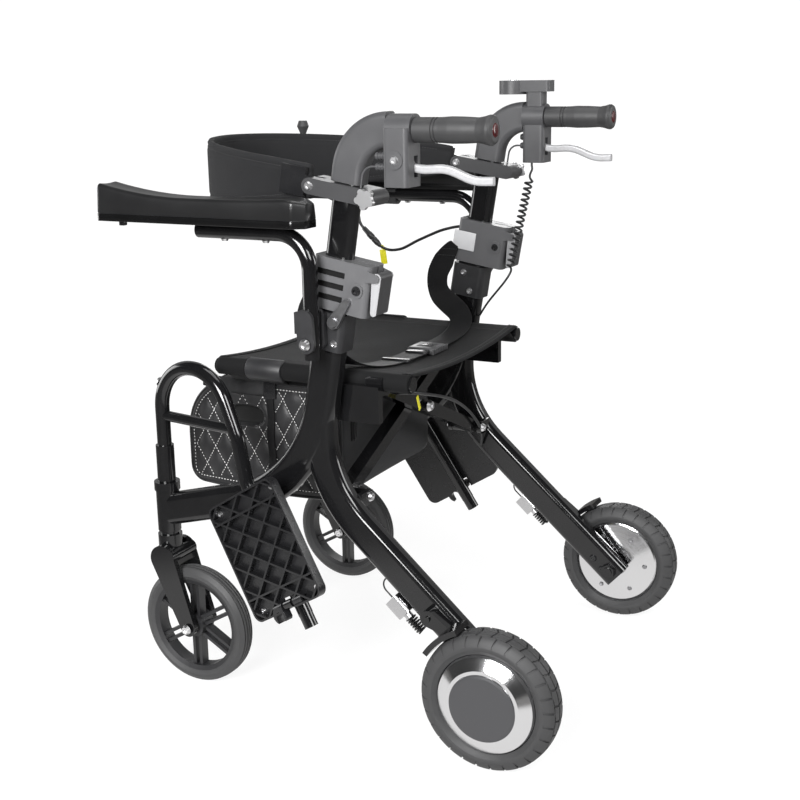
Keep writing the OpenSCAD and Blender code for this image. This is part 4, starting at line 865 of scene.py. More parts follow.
def hem(name, edge, inward):
    """A folded strip over the front or back edge of the seat."""
    wrap = [(0.014, 0.0018), (0.007, 0.0020), (0.001, 0.0019), (-0.0009, 0.0008), (-0.0009, -0.0008),
            (0.001, -0.0019), (0.007, -0.0020), (0.014, -0.0018)]
    rows = [[p + Vector((0, inward * d, lift)) for d, lift in wrap] for p in seat_line(edge, 0.0)]
    return thicken(loft(name, rows, seat_cloth), 0.0009)


hems = [hem("seat_hem_front", SEAT_FRONT, 1), hem("seat_hem_back", SEAT_BACK, -1)]
hem_lines = [seat_line(edge + inward * d, 0.0026) for edge, inward in ((SEAT_FRONT, 1), (SEAT_BACK, -1))
             for d in (0.004, 0.0115)]
seam_x = RAIL_X - STITCH_IN
sleeve_lines = [[Vector((side * seam_x, SEAT_FRONT + 0.01 + 0.304 * k / 60, seat_height(seam_x) + 0.0014))
                 for k in range(61)] for side in (1, -1)]
seams = stitches("seat_stitches", hem_lines + sleeve_lines, black_thread)
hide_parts("seat_sling")
for made in (sling, *hems, seams):
    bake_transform(made)
print("hems:", [made.name for made in hems])

# %% [markdown]
# ## Backrest band
# The band is foam in a knitted cover, bent into half an ellipse and bolted to a plate on each backrest arm.
# It is tallest in the middle. The cover is sewn through near its top and bottom edges, so the section is a
# cushion that is pinched where the stitches run.

# %% Section of the band
BAND_HALF, BAND_DEPTH, BAND_T, BAND_Z = 0.2297, 0.264, 0.012, 0.79111
BAND_SEAM, BAND_STEPS = 0.0095, 120
BAND_Y = post_y(WAIST_Z + 0.302 * math.cos(LEAN)) - 0.088


def band_point(a):
    """Middle of the band at an angle round its plan."""
    y = BAND_Y + 0.026 - BAND_DEPTH * math.sin(a) - 0.013 * (1 - math.cos(2 * a))
    return Vector((BAND_HALF * math.cos(a), y, BAND_Z))


def band_out(a):
    """Level direction out of the band at an angle."""
    return Vector((math.cos(a) * BAND_DEPTH, -math.sin(a) * BAND_HALF, 0)).normalized()


def band_height(a):
    """Height of the band, which is tallest in its middle."""
    return 0.044 + 0.056 * max(0.0, math.sin(a)) ** 0.8


def band_section(h):
    """Outline of the section: thickness and height, pinched at the two seams."""
    seam, points = h / 2 - BAND_SEAM, []
    for k in range(25):
        z = h / 2 * (1 - 2 * k / 24)
        edge = max(0.0, 1 - (abs(z) / (h / 2)) ** 8) ** 0.5
        pinch = 1 - 0.28 * math.exp(-((abs(z) - seam) / 0.0028) ** 2)
        points.append((BAND_T / 2 * (0.35 + 0.65 * edge) * pinch, z))
    return points


def band_rows():
    """Sections of the band from the left plate round to the right one, with a slight ripple."""
    rows = []
    for i in range(BAND_STEPS + 1):
        a = math.pi * i / BAND_STEPS
        middle, out, half = band_point(a), band_out(a), band_section(band_height(a))
        ripple = 0.0007 * math.sin(17 * a) * math.sin(a)
        ring = [middle + out * (t + ripple) + Vector((0, 0, z)) for t, z in half]
        ring += [middle + out * (ripple - t) + Vector((0, 0, z)) for t, z in half[::-1]]
        rows.append(ring)
    return rows


print("band:", round(band_height(math.pi / 2), 3), "m tall in its middle")

# %% Padded band
band = loft("backrest_pad", band_rows(), band_cloth, ring=True, caps=True)
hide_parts("backrest_band")
band_lines = []
for face in (1, -1):
    for edge in (1, -1):
        line = []
        for i in range(4, BAND_STEPS - 3):
            a = math.pi * i / BAND_STEPS
            rise = Vector((0, 0, edge * (band_height(a) / 2 - BAND_SEAM)))
            line.append(band_point(a) + band_out(a) * face * 0.0047 + rise)
        band_lines.append(line)
band_seams = stitches("backrest_stitches", band_lines, black_thread, 0.0048, 0.0034, 0.0011)
for made in (band, band_seams):
    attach(made, "backrest_left")
    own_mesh(made)
print("band:", len(band.data.polygons), "faces")

# %% [markdown]
# ## Rear tyres
# The tread is cut into the tyre: a groove round the middle, one at each shoulder, and a notch between
# blocks. A texture would only paint it, so the section is swept round the axle, and its radius drops
# wherever a groove runs. The rows are closer together at the notches, and they are sheared so that the
# blocks point forward.

# %% Block tread
TYRE_R, TYRE_X, BLOCKS, SHEAR = 100.0, 288.0, 28, 0.35
ROWS = (0.0, 0.02, 0.12, 0.14, 0.30, 0.48, 0.50, 0.60, 0.62, 0.80)
CROWN = (0.0, 1.2, 1.6, 4.5, 8.0, 12.0, 12.5, 14.3, 14.8, 17.0, 19.5, 22.0, 23.6, 24.6, 25.0)
WALL = ((82.0, 25.0), (79.6, 24.5), (78.1, 23.0), (75.1, 20.7), (73.1, 19.0))


def tyre_round(x):
    """Radius of the uncut tyre at a distance from its middle, in millimetres."""
    edge = max(0.0, x - 12.0) / 13.0
    return TYRE_R - 1.0 * (min(x, 12.0) / 12.0) ** 2 - 14.0 * edge ** 2.4


def cut_depth(x, phase):
    """How deep the tread is cut at a place."""
    if x < 1.4 or 12.2 < x < 14.5:
        return 2.6
    notch = 0.01 < phase < 0.13 if x > 14.5 else 0.49 < phase < 0.61
    return (2.8 if x < 21 else 1.8 if x < 24 else 0.0) if notch else 0.0


def tyre_rows():
    """Rings of (x, radius, angle), each from one bore edge over the crown to the other."""
    rings = []
    turn = 2 * math.pi / BLOCKS
    for block in range(BLOCKS):
        for phase in ROWS:
            half = [(x, tyre_round(x) - cut_depth(x, phase)) for x in CROWN] + [(x, r) for r, x in WALL]
            both = [(-x, r) for x, r in half[:0:-1]] + half
            rings.append([(x, r, turn * (block + phase + SHEAR * min(abs(x), 24.0) / 24.0)) for x, r in both])
    return rings


tread = tyre_rows()
count, wide = len(tread), len(tread[0])
tyre_faces = []
for i in range(count):
    for j in range(wide):
        here, ahead, k = i * wide, (i + 1) % count * wide, (j + 1) % wide
        tyre_faces.append((here + j, here + k, ahead + k, ahead + j))
for name, s in SIDES.items():
    points = [(s * (TYRE_X + x) * MM, AXLE_Y + r * MM * math.cos(a), AXLE_Z + r * MM * math.sin(a))
              for row in tread for x, r, a in row]
    tyre = outward(piece("tread_tyre_" + name, points, tyre_faces, rear_rubber))
    tyre.data.set_sharp_from_angle(angle=math.radians(32))
    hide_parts("rear_tyre_" + name)
    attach(tyre, "rear_wheel_" + name)
print("tyres:", len(tyre_faces), "faces each")

# %% [markdown]
# ## Armrest pads
# Each pad is self-skinned foam on a moulded tray. A fine groove parts the two, the sides lean in a little
# to a rounded edge, the front stands higher, and the rear corners are cut off. The section is lofted along
# the pad.

# %% Moulded pads
PAD_X, PAD_W, PAD_L, PAD_FRONT, PAD_LOW = 0.300, 0.052, 0.342, ARM_Y - 0.329, 0.7351
TRAY = [(0, 0), (0.9, 0), (0.985, 0.0003), (1, 0.0014), (1, 0.0096), (0.985, 0.0104), (0.945, 0.0107),
        (0.945, 0.0114), (0.975, 0.0122)]


def pad_top(t):
    """Height of the pad at a share of its length."""
    return 0.036 + 0.018 * max(0.0, 1 - 2.2 * t) ** 2 + 0.005 * max(0.0, 2.6 * t - 1.6) ** 2


def pad_half(t):
    """Half the width: rounded at the front, with its corners cut off at the rear."""
    front, rear = t * PAD_L, (1 - t) * PAD_L
    if front < 0.008:
        return PAD_W / 2 - 0.008 * (1 - math.sqrt(max(0.0, 1 - (1 - front / 0.008) ** 2)))
    return PAD_W / 2 - max(0.0, 0.011 * (1 - rear / 0.015))


def pad_section(t):
    """Half outline at a share of the length, from the middle of the tray round to the middle of the top."""
    w, h, round_r = pad_half(t), pad_top(t), 0.0065
    h -= 0.0075 * max(0.0, 1 - (1 - t) * PAD_L / 0.030) ** 1.6
    h -= 0.0050 * max(0.0, 1 - t * PAD_L / 0.006) ** 2
    edge = w - 0.0028
    bead = [(edge - round_r * (1 - math.cos(a)), h - round_r + round_r * math.sin(a))
            for a in degrees(0, 85, 12)]
    crown = [(s * (edge - round_r), h - 0.0012 * (1 - s * s)) for s in (0.8, 0.55, 0.28, 0.0)]
    return [(x * w, z) for x, z in TRAY] + bead + crown


def armrest(side, steps=96):
    """Sections of one pad from front to rear, closer together at both ends."""
    rows = []
    for i in range(steps + 1):
        t = 0.5 - 0.5 * math.cos(math.pi * i / steps)
        half = pad_section(t)
        ring = half + [(-x, z) for x, z in half[-2:0:-1]]
        rows.append([Vector((side * PAD_X + x, PAD_FRONT + t * PAD_L, PAD_LOW + z)) for x, z in ring])
    return rows


for name, side in SIDES.items():
    pad = loft("armrest_cushion_" + name, armrest(side), pad_skin, ring=True, caps=True)
    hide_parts("armrest_pad_" + name)
    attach(pad, "armrest_" + name)
stud_at = Vector((PAD_X, PAD_FRONT + 0.028, PAD_LOW - 0.0036))
stud = slab("pad_stud", stud_at, (0.009, 0.009, 0.009), gloss, bevel=0.0014)
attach(stud, "armrest_left")
print("pads:", len(pad.data.polygons), "faces each")

# %% [markdown]
# ## Lap belt
# Two straps of ribbed webbing leave the post clamps, bow forward, and lie on the seat up to the buckle. A
# ribbon has a thicker woven edge, so its section is a flat with two beads.

# %% Straps
BELT_W, BELT_T, SLIDE_STEP = 0.038, 0.0018, 62
BUCKLE = Vector((0, 0.04055, 0.5134))
strap_x, hang = 0.2167, 0.621
strap_way = [(strap_x, post_y(hang) - 0.026, hang + 0.030), (strap_x, post_y(hang) - 0.044, hang + 0.004),
             (strap_x - 0.001, post_y(hang) - 0.058, hang - 0.026),
             (strap_x - 0.003, post_y(hang) - 0.052, hang - 0.058), (strap_x - 0.016, 0.00855, 0.5349),
             (strap_x - 0.052, 0.02655, 0.5209), (strap_x - 0.110, 0.03655, 0.5144), (0.026, 0.04055, 0.5134)]


def ribbon(name, path, width, thick, finish, narrowing=None):
    """Webbing along a path. Its width lies as near to y as the path lets it."""
    over = [(-0.5, 0.25), (-0.47, 0.5), (-0.44, 0.42), (0.44, 0.42), (0.47, 0.5), (0.5, 0.25)]
    under = [(a, -b) for a, b in over[::-1]]
    section = under[-1:] + over + under[:-1]
    rows = []
    for i, point in enumerate(path):
        ahead = (path[min(i + 1, len(path) - 1)] - path[max(i - 1, 0)]).normalized()
        level = Vector((0, 1, 0))
        wide = (level - ahead * level.dot(ahead)).normalized()
        tall = ahead.cross(wide)
        narrow = width * (narrowing(i / (len(path) - 1)) if narrowing else 1)
        rows.append([point + wide * (a * narrow) + tall * (b * thick) for a, b in section])
    return loft(name, rows, finish, ring=True, caps=True)


def flip(points):
    """The same path on the other side of the chair."""
    return [Vector((-p.x, p.y, p.z)) for p in points]


def pleated(t):
    """The strap is folded together where it leaves the clamp."""
    return 0.42 + 0.58 * min(1.0, t / 0.16) ** 0.8


strap_path = curve_through(strap_way, 10)
belt = [ribbon("belt_strap_left", strap_path, BELT_W, BELT_T, belt_web, pleated),
        ribbon("belt_strap_right", flip(strap_path), BELT_W, BELT_T, belt_web, pleated)]
print("straps:", round(path_length(strap_path), 3), "m each")

# %% Buckle, slide and tacks
buckle_grey = moulded("buckle_grey", (0.060, 0.060, 0.062), (0.085, 0.085, 0.088), 0.3, 900.0)
BUCKLE_PARTS = {
    "buckle_body": ((-0.009, 0, 0), (0.048, 0.046, 0.0100), buckle_grey, 0.0032),
    "buckle_window": ((-0.010, 0, 0.0046), (0.024, 0.026, 0.0016), charcoal, 0.0006),
    "buckle_tongue": ((0.024, 0, 0), (0.022, 0.034, 0.0064), gloss, 0.0022),
    "buckle_press": ((-0.010, 0, 0.0052), (0.016, 0.012, 0.0016), gloss, 0.0006),
}
for name, (offset, size, finish, bevel) in BUCKLE_PARTS.items():
    belt.append(slab(name, BUCKLE + Vector(offset), size, finish, bevel=bevel))
slide_at = strap_path[SLIDE_STEP] + Vector((0, 0, 0.0006))
belt.append(slab("belt_slide", slide_at, (0.012, 0.046, 0.0052), gloss, bevel=0.0016))
for k in range(9):
    rib = BUCKLE + Vector((0.016 - 0.0062 * k, 0.0232, 0))
    belt.append(slab("buckle_rib_" + str(k), rib, (0.0034, 0.0030, 0.0086), buckle_grey, bevel=0.0008))
tacks = []
for end in (strap_path, flip(strap_path)):
    for share in (0.035, 0.075):
        point, _ = along(end, share)
        off = -0.0012 if point.x > 0 else 0.0012
        tacks.append([point + Vector((off, 0.015 * k / 8, 0)) for k in range(-8, 9)])
belt.append(stitches("belt_tacks", tacks, black_thread))
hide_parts("seat_belt")
for made in belt:
    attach(made, "centre")
    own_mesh(made)
print("belt:", len(belt), "pieces")

# %% [markdown]
# ## Bag
# The battery bag is sewn from two quilted side panels and a cloth gusset that runs round them. It starts as
# a closed shell. A short cloth simulation with a little air inside fills it, while the seams are pinned, so
# that the panels swell between them. The quilting is pressed in afterwards, and stitches are laid on the
# surface by ray casts.

# %% Bag shell
BAG_X, BAG_Y, BAG_Z, BAG_L, BAG_H, BAG_R = 0.150, -0.31245, 0.297, 0.287, 0.180, 0.0954
BAG_MID = Vector((0, BAG_Y + 0.52 * BAG_L, BAG_Z + 0.47 * BAG_H))
PANEL, BAG_EDGE = 0.93, 0.012


def rounded_outline(inset, count):
    """The bag from the side, drawn in by an inset, as points at even steps. The bottom sags a little."""
    y0, y1, z0, z1 = BAG_Y + inset, BAG_Y + BAG_L - inset, BAG_Z + inset, BAG_Z + BAG_H - inset
    corners = [(y1, z0, 0.022, -90), (y1, z1, 0.014, 0), (y0, z1, BAG_R, 90), (y0, z0, 0.024, 180)]
    loop = []
    for y, z, r, start in corners:
        r = max(r - inset, 0.004)
        cy, cz = y - r if y == y1 else y + r, z - r if z == z1 else z + r
        arc = [math.radians(start + 90 * k / 12) for k in range(13)]
        loop += [Vector((0, cy + r * math.cos(a), cz + r * math.sin(a))) for a in arc]
    loop.append(loop[0])
    points = []
    for i in range(count):
        point, _ = along(loop, i / count)
        low = max(0.0, 1 - (point.z - BAG_Z) / 0.05)
        share = (point.y - BAG_Y) / BAG_L
        points.append(point - Vector((0, 0, 0.006 * low * math.sin(math.pi * min(max(share, 0), 1)))))
    return points


def bag_rings(count=180):
    """Rings from the middle of one side panel, over the seam, across the gusset, to the other panel."""
    edge = rounded_outline(0.0, count)
    rings = []
    for k in range(1, 19):
        s = k / 18 * PANEL
        rings.append([BAG_MID.lerp(p, s) + Vector((BAG_X + 0.001 * (1 - s), 0, 0)) for p in edge])
    for v in (15, 35, 55, 75, 90):
        a = math.radians(v)
        s, x = PANEL + (1 - PANEL) * math.sin(a), BAG_X - BAG_EDGE * (1 - math.cos(a))
        rings.append([BAG_MID.lerp(p, s) + Vector((x, 0, 0)) for p in edge])
    half = [(BAG_X - BAG_EDGE) * (1 - k / 16) for k in range(1, 17)]
    rings += [[p + Vector((x, 0, 0)) for p in edge] for x in half]
    return rings + [flip(ring) for ring in rings[-2::-1]]


def inside(point):
    """How far a point on a side panel is from the panel's seam, in metres."""
    y0, y1, z0, z1 = BAG_Y, BAG_Y + BAG_L, BAG_Z - 0.003, BAG_Z + BAG_H
    gap = min(point.y - y0, y1 - point.y, point.z - z0, z1 - point.z)
    cy, cz = y0 + BAG_R, z1 - BAG_R
    if point.y < cy and point.z > cz:
        gap = min(gap, BAG_R - math.hypot(point.y - cy, point.z - cz))
    return gap


bag = loft("bag_shell", bag_rings(), bag_cloth, ring=True, caps=True)
print("bag shell:", len(bag.data.polygons), "faces")

# %% Fill the bag
FRAMES = 20


def inflate(made, voxel, limit):
    """Remeshes a closed piece evenly, swells it with a little air, and limits how far it moves."""
    even = made.modifiers.new("even", "REMESH")
    even.mode, even.voxel_size = "VOXEL", voxel
    settle(made)
    start = [v.co.copy() for v in made.data.vertices]
    pins = made.vertex_groups.new(name="seams")
    for v in made.data.vertices:
        side = abs(v.co.x) > BAG_X - 0.016
        if (side and inside(v.co) < 0.010) or (abs(v.co.x) > BAG_X - 0.03 and v.co.z > BAG_Z + BAG_H - 0.012):
            pins.add([v.index], 1.0, "REPLACE")
    cloth = made.modifiers.new("air", "CLOTH")
    cloth.settings.use_pressure = True
    cloth.settings.uniform_pressure_force = 4.0
    cloth.settings.vertex_group_mass = "seams"
    cloth.settings.quality = 5
    cloth.settings.tension_stiffness = cloth.settings.compression_stiffness = 25.0
    cloth.settings.effector_weights.gravity = 0.0
    cloth.point_cache.frame_start, cloth.point_cache.frame_end = 1, FRAMES
    for step in range(1, FRAMES + 1):
        scene.frame_set(step)
    settle(made)
    made.vertex_groups.clear()
    scene.frame_set(1)
    for v, old in zip(made.data.vertices, start):
        move = v.co - old
        if move.length > limit:
            v.co = old + move * (limit / move.length)


inflate(bag, 0.0055, 0.009)
fine = bag.modifiers.new("fine", "SUBSURF")
fine.levels = fine.render_levels = 1
settle(bag)
print("filled bag:", len(bag.data.polygons), "faces")

# %% Quilting
DIAMOND_W, DIAMOND_H = 0.037, 0.060
SLIT_Y, SLIT_Z = -0.197, 0.4185
LID_END, LID_LOW = -0.158, 0.4535


def pillow(y, z):
    """Height of the filling between the lines of quilting: 0 on a seam, 1 in the middle of a diamond."""
    a, b = y / DIAMOND_W + z / DIAMOND_H, y / DIAMOND_W - z / DIAMOND_H
    return abs(math.sin(math.pi * a) * math.sin(math.pi * b)) ** 0.6


def slit(y, z):
    """Below 1 inside the hand slot of the left panel, which is a rounded oblong."""
    return (abs(y - SLIT_Y) / 0.030) ** 3 + (abs(z - SLIT_Z) / 0.0145) ** 2.6


def lid(y, z):
    """True where a plain cloth band covers the top of the left panel."""
    return y < LID_END and z > LID_LOW


for v in bag.data.vertices:
    room = inside(v.co)
    if v.co.x > BAG_X - BAG_EDGE and slit(v.co.y, v.co.z) < 1.6:
        v.co.x -= 0.010 * min(1.0, max(0.0, (1.6 - slit(v.co.y, v.co.z)) / 0.8))
    elif abs(v.co.x) > BAG_X - 0.006 and room > 0.012 and not (v.co.x > 0 and lid(v.co.y, v.co.z)):
        fade = min(1.0, (room - 0.012) / 0.012)
        v.co.x += (0.0040 * pillow(v.co.y, v.co.z) - 0.0024) * fade * (1 if v.co.x > 0 else -1)
bag.data.materials.clear()
for finish in (bag_cloth, leather, bag_slot_shade):
    bag.data.materials.append(finish.material)
for face in bag.data.polygons:
    face.material_index = 1 if abs(face.center.x) > BAG_X - 0.007 and inside(face.center) > 0.004 else 0
    # Painted shade: faces inside the hand slot take the near-black finish.
    if face.center.x > BAG_X - 0.02 and slit(face.center.y, face.center.z) < 1.1:
        face.material_index = 2
if "UVMap" in bag.data.uv_layers:
    bag.data.uv_layers.remove(bag.data.uv_layers["UVMap"])
unwrapped = bag.data.uv_layers.new(name="UVMap")
for corner in bag.data.loops:
    p = bag.data.vertices[corner.vertex_index].co
    unwrapped.data[corner.index].uv = (p.x, p.y + p.z)
bag.data.shade_smooth()
print("quilted with", len(bag.data.materials), "materials")

# %% Stitches, piping, zip and slot
bag_skin = BVHTree.FromObject(bag, bpy.context.evaluated_depsgraph_get())


def on_side(side, y, z, lift):
    """A point on a side panel, a little above its surface."""
    hit, *_ = bag_skin.ray_cast(Vector((side * 0.3, y, z)), Vector((-side, 0, 0)))
    return Vector(((hit.x if hit else side * BAG_X) + side * lift, y, z))


def on_gusset(x, point, lift):
    """A point on the gusset, seen from outside along the line from the bag's middle."""
    target = Vector((x, point.y, point.z))
    out = (target - Vector((x, BAG_MID.y, BAG_MID.z))).normalized()
    hit, *_ = bag_skin.ray_cast(target + out * 0.08, -out)
    return (hit or target) + out * lift


def quilt_lines(side):
    """Every line of quilting on a panel, cut at the border seam."""
    lines = []
    for slope in (1, -1):
        for n in range(-30, 31):
            line = []
            for k in range(91):
                z = BAG_Z + BAG_H * k / 90
                y = DIAMOND_W * (n - slope * z / DIAMOND_H)
                plain = side > 0 and (slit(y, z) < 1.7 or lid(y, z))
                if inside(Vector((0, y, z))) > 0.017 and not plain:
                    line.append(on_side(side, y, z, 0.0003))
                elif line:
                    lines.append(line)
                    line = []
            if len(line) > 2:
                lines.append(line)
    return lines


def superellipse(a, y, z, y_power, z_power):
    """y, z of a rounded oblong at an angle."""
    c, d = math.cos(a), math.sin(a)
    return (y * math.copysign(abs(c) ** y_power, c), z * math.copysign(abs(d) ** z_power, d))


border, edge_line = rounded_outline(0.0125, 160), rounded_outline(0.0035, 160)
bag_parts = []
for name, side in SIDES.items():
    seam = [on_side(side, p.y, p.z, 0.0003) for p in border]
    welt = [on_side(side, p.y, p.z, 0.0010) for p in edge_line]
    bag_parts += [
        stitches("bag_quilting_" + name, quilt_lines(side), pale_thread, 0.0050, 0.0036, 0.0011),
        stitches("bag_border_" + name, [seam + seam[:1]], pale_thread, 0.0056, 0.0034, 0.0013),
        tube("bag_piping_" + name, welt + welt[:1], 0.0022, 10, leather)]
zip_run = [p for p in rounded_outline(0.0, 200) if p.z > BAG_Z + 0.09 or p.y < BAG_Y + 0.02]
zip_run.sort(key=lambda p: math.atan2(p.z - BAG_MID.z, BAG_MID.y - p.y))
tape = [[on_gusset(x, p, 0.0008) for x in (0.110, 0.115, 0.120, 0.125)] for p in zip_run]
teeth = [on_gusset(0.1175, p, 0.0016) for p in zip_run]
around = [superellipse(a, 0.0335, 0.0172, 0.67, 0.77) for a in circle(60)]
rim = [on_side(1, SLIT_Y + y, SLIT_Z + z, 0.0) for y, z in around]
bag_parts += [thicken(loft("bag_zip_tape", tape, belt_web), 0.0008),
              stitches("bag_zip_teeth", [teeth], gloss, 0.0026, 0.0014, 0.0034),
              tube("bag_slot_rim", rim + rim[:1], 0.0014, 10, leather)]
print("trim:", [made.name for made in bag_parts])

# %% Lid, strap and flaps
LID_FORM = [(0.4525, 0.0012), (0.456, 0.0030), (0.460, 0.0038), (0.464, 0.0040), (0.468, 0.0038),
            (0.472, 0.0026), (0.476, 0.0006)]
lid_rows = []
for k in range(41):
    y = -0.2750 + 0.1150 * k / 40
    crease = 0.0016 * math.sin(150 * y + 1.2) + 0.0009 * math.sin(333 * y)
    under = [on_side(1, y, min(z, 0.466), 0.0).x for z, _ in LID_FORM]
    lid_rows.append([Vector((x + lift + crease * math.sin(math.pi * j / 6), y, z))
                     for j, (x, (z, lift)) in enumerate(zip(under, LID_FORM))])
strap = [on_side(1, -0.150, 0.468 - 0.150 * k / 30, 0.0018) for k in range(31)]
tab_at = strap[1] + Vector((0.0016, 0.0, 0.0))
bag_parts += [thicken(loft("bag_lid", lid_rows, bag_cloth), 0.0016),
              ribbon("bag_strap", strap, 0.013, 0.0022, belt_web),
              slab("bag_strap_tab", tab_at, (0.0040, 0.022, 0.026), gloss, bevel=0.0014)]


def flap(name, side):
    """A strip from the bag's top edge up to a seat sleeve, with a slight bow."""
    rail, edge = Vector((RAIL_X, 0, RAIL_Z)), Vector((0.146, 0, BAG_Z + BAG_H - 0.004))
    top = rail + (edge - rail).normalized() * 0.0146
    rows = []
    for k in range(9):
        t = k / 8
        mid = edge.lerp(top, t) + Vector((0.002, 0, -0.002)) * math.sin(math.pi * t)
        rows.append([Vector((side * mid.x, y, mid.z)) for y in (-0.209, -0.19, -0.163, -0.136, -0.1173)])
    return thicken(loft("bag_flap_" + name, rows, bag_cloth), 0.0026)


bag_parts += [flap(name, s) for name, s in SIDES.items()]
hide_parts("bag")
for made in (bag, *bag_parts):
    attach(made, "centre")
    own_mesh(made)
print("trim of the bag:", len(bag_parts), "pieces")

# %% [markdown]
# ## Fasteners
# Every screw sits where a ray from outside meets the CAD surface, and stands along that surface's normal.
# The tree makes one button-head screw with a hexagon socket, and puts it on each point with its own
# direction and size.


# %% One screw
def screw_nodes(node, given):
    """A button head with a hexagon socket on each point."""
    flange = node("GeometryNodeMeshCone", {}, Vertices=20, Radius_Top=0.72, Radius_Bottom=1.0, Depth=0.55)
    socket = node("GeometryNodeMeshCylinder", {}, Vertices=6, Radius=0.42, Depth=0.7)
    high = node("GeometryNodeTransform", {}, Geometry=socket.outputs[0], Translation=(0, 0, 0.6))
    bored = node("GeometryNodeMeshBoolean", {"operation": "DIFFERENCE"}, Mesh_1=flange.outputs[0],
                 Mesh_2=high.outputs[0])
    way = node("GeometryNodeInputNamedAttribute", {"data_type": "FLOAT_VECTOR"}, Name="way")
    size = node("GeometryNodeInputNamedAttribute", {"data_type": "FLOAT"}, Name="size")
    turn = node("FunctionNodeAlignRotationToVector", {"axis": "Z"}, Vector=way.outputs[0])
    put = node("GeometryNodeInstanceOnPoints", {}, Points=given["Geometry"], Instance=bored.outputs[0],
               Rotation=turn.outputs[0], Scale=size.outputs[0])
    return put.outputs[0]


SCREW_TREE = tree_of("screws", (), screw_nodes)
print("tree:", SCREW_TREE.name)

# %% Screws on a surface
skins = {}


def surface(node, start, way):
    """Where a ray meets a CAD node, and the surface's normal there."""
    if node not in skins:
        skins[node] = BVHTree.FromObject(nodes[node], bpy.context.evaluated_depsgraph_get())
    outer = nodes[node].matrix_world
    local = outer.inverted()
    hit, normal, *_ = skins[node].ray_cast(local @ Vector(start), local.to_3x3() @ Vector(way))
    return (outer @ hit, (outer.to_3x3() @ normal).normalized()) if hit else None


def screws(name, body, wanted, finish):
    """One mesh with a screw for each (node, start, way, radius)."""
    points, ways, sizes = [], [], []
    for node, start, way, radius in wanted:
        found = surface(node, start, way)
        if not found:
            print("no surface for a screw of", node, start)
            continue
        points.append(found[0])
        ways.append(found[1])
        sizes.append(radius)
    made = piece(name, points, [])
    for key, kind, field, values in (("way", "FLOAT_VECTOR", "vector", [c for way in ways for c in way]),
                                     ("size", "FLOAT", "value", sizes)):
        made.data.attributes.new(key, kind, "POINT").data.foreach_set(field, values)
    run_tree(made, SCREW_TREE, finish)
    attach(made, body)


def on_post(y, up):
    """y and z of a point in the leaning frame of a post: y across it, up along it from the waist."""
    c, d = math.cos(LEAN), math.sin(LEAN)
    return (WAIST_Y + y * c + up * d, WAIST_Z - y * d + up * c)


def turned(angle, axis):
    """A rotation by degrees about an axis."""
    return Matrix.Rotation(math.radians(angle), 4, axis)


# The left footplate's own frame: x across the plate, y up it, and its ribs to the outside
PLATE = (Matrix.Translation((0.240, -0.29045, 0)) @ turned(80, "Z") @ turned(90, "X")
         @ Matrix.Translation((0.29054, 0.15371, 0)) @ turned(31, "Z") @ Matrix.Diagonal((1, 1, -1, 1)))

# %% Screws of each body
METALS = {"gloss": gloss, "silver": silver, "cast": cast}
IN, OUT = (-1, 0, 0), (1, 0, 0)
PLATE_WAY = tuple(PLATE.to_3x3() @ Vector((0, 0, 1)))
HUB_SCREWS = [(AXLE_Y + 0.051 * math.cos(a), AXLE_Z + 0.051 * math.sin(a)) for a in circle(6)]
for name, s in SIDES.items():
    rays = {
        ("frame_", "silver"): [
            ("armrest_bracket_", (0.35, ARM_Y, 0.576), IN, 0.0085),
            ("armrest_bracket_", (0.10, *on_post(0.009, 0.092)), OUT, 0.0055),
            ("armrest_bracket_", (0.10, *on_post(-0.007, 0.122)), OUT, 0.0055),
            ("armrest_bracket_", (0.35, *on_post(0.0175, 0.094)), IN, 0.0055),
            ("armrest_bracket_", (0.35, *on_post(0.0175, 0.122)), IN, 0.0055),
            ("side_frame_", (0.205, 0.20, 0.335), (0, -1, 0), 0.0075),
            ("side_frame_", (0.205, -0.15, 0.335), (0, 1, 0), 0.0075)],
        ("frame_", "gloss"): [
            ("side_frame_", (0.10, 0.2500, 0.119), OUT, 0.0064),
            ("side_frame_", (0.10, 0.2660, 0.101), OUT, 0.0064),
            ("post_clamp_", (0.35, *on_post(0.043, 0.176)), IN, 0.0070),
            ("post_clamp_", (0.10, *on_post(0.043, 0.176)), OUT, 0.0060)],
        ("handle_", "silver"): [
            ("backrest_arm_", (0.35, -0.00292, 0.78711), IN, 0.0065),
            ("backrest_arm_", (0.10, -0.00292, 0.78711), OUT, 0.0065),
            ("brake_housing_", (0.35, 0.1312, 0.823), IN, 0.0060)],
        ("armrest_", "silver"): [
            ("armrest_tube_", (0.284, -0.060, 0.60), (0, 0, 1), 0.0055),
            ("armrest_tube_", (0.284, -0.128, 0.60), (0, 0, 1), 0.0055)],
        ("caster_fork_", "silver"): [
            ("caster_fork_", (0.35, -0.24445, 0.095), IN, 0.0080),
            ("caster_fork_", (0.10, -0.24445, 0.095), OUT, 0.0080)],
        ("hanger_", "silver"): [
            ("footrest_hanger_", (0.24, -0.29045, 0.80), (0, 0, -1), 0.0080)],
        ("rear_wheel_", "cast"): [
            ("hub_motor_", (0.10, y, z), OUT, 0.0042) for y, z in HUB_SCREWS],
        ("footplate_", "silver"): [
            ("footplate_", tuple(PLATE @ Vector((x, y, -0.08))), PLATE_WAY, 0.0052)
            for x in (-0.062, 0.062) for y in (0.050, 0.207)],
    }
    for (body, finish), wanted in rays.items():
        mirrored = [(node + name, (s * p[0], *p[1:]), (s * w[0], *w[1:]), r) for node, p, w, r in wanted]
        screws("screws_" + body + name + "_" + finish, body + name, mirrored, METALS[finish])
screws("screws_brace", "brace_a", [("brace_a", (0, 0.2, 0.42293), (0, -1, 0), 0.0095)], silver)
print("screws on", 1 + len(rays) * len(SIDES), "bodies and finishes")

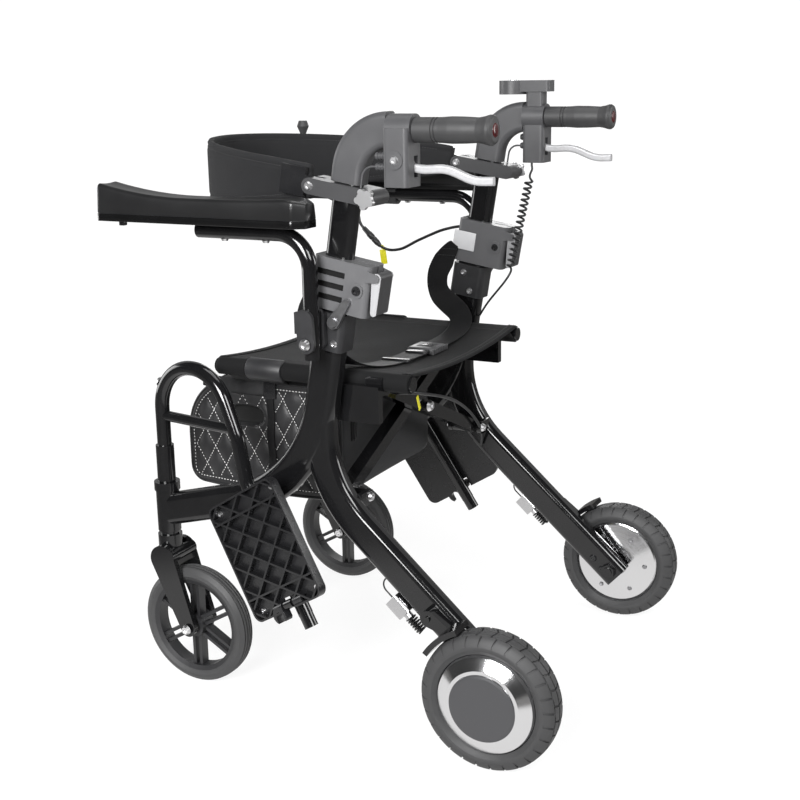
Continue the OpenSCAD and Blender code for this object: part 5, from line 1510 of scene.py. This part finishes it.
# %% Grip lenses, clamp plates and rail clips
CLIP_FORM = [(-0.155, 0.0150), (-0.1545, 0.0162), (-0.153, 0.0170), (-0.095, 0.0170), (-0.0935, 0.0162),
             (-0.093, 0.0150)]
CLIP_BORE = 0.0142
clip_arc = degrees(-75, 91, 11)
lens_form = [(-2.0, 9.2), (0.3, 9.2), (0.9, 8.7), (1.3, 7.0), (1.6, 4.5), (1.7, 1.6), (1.72, 0.2)]
for name, s in SIDES.items():
    path = [Vector((s * 0.240, 0.26183 + y * MM, 0.861)) for y, _ in lens_form]
    lens = tube("grip_lens_" + name, path, [r * MM for _, r in lens_form], 28, lens_red)
    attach(lens, "handle_" + name)
    y, z = on_post(-0.014, 0.176)
    plate = slab("clamp_plate_" + name, Vector((s * 0.2174, y, z)), (0.0024, 0.040, 0.031), plate_pale, -LEAN,
                 bevel=0.0011)
    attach(plate, "frame_" + name)
    clip_rows = []
    for y, outer in CLIP_FORM:
        section = [(outer, a) for a in clip_arc] + [(CLIP_BORE, a) for a in clip_arc[::-1]]
        clip_rows.append([Vector((s * (RAIL_X + r * math.cos(a)), y, RAIL_Z + r * math.sin(a)))
                          for r, a in section])
    clamp = loft("rail_clip_" + name, clip_rows, charcoal, ring=True, caps=True)
    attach(clamp, "brace_b" if s > 0 else "brace_a")
print("small parts on", len(SIDES), "sides")

# %% [markdown]
# ## Motor cable
# A second cable leaves the brace bar under the seat and bends down to the right rear leg. It is drawn like
# the first one, with a blank tag.

# %% Motor cable
MOTOR_D, MOTOR_TAG_SHARE = 0.0052, 0.10
motor_way = [(0.088, 0.064, 0.4660), (0.040, 0.066, 0.452), (-0.030, 0.062, 0.432), (-0.100, 0.056, 0.404),
             (-0.160, 0.050, 0.372), (-0.198, 0.050, 0.338), (-0.214, 0.047, 0.316)]
bar = surface("brace_b", (0.100, 0.15, 0.466), (0, -1, 0))[0]
leg = surface("side_frame_right", (-0.150, 0.042, 0.300), (-1, 0, 0))[0]
motor_way = [bar + Vector((0, 0.005, 0)), *motor_way, leg + Vector((0.005, 0, 0))]
motor_path = [bar] + curve_through(motor_way, 8) + [leg]
ease(motor_path, 2, len(motor_path) - 2, 24)
motor = tube("motor_lead", motor_path, MOTOR_D / 2, 12, sheath)
hole, _ = along(motor_path, MOTOR_TAG_SHARE)
hung = hole + Vector((0, 0.0016, -0.015))
motor_tag = slab("motor_tag", hung, (0.016, 0.0010, 0.022), tag_yellow, 0.2, 0.3, 0.0004)
for made in (motor, motor_tag):
    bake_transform(made)
print("motor cable:", round(path_length(motor_path), 3), "m")
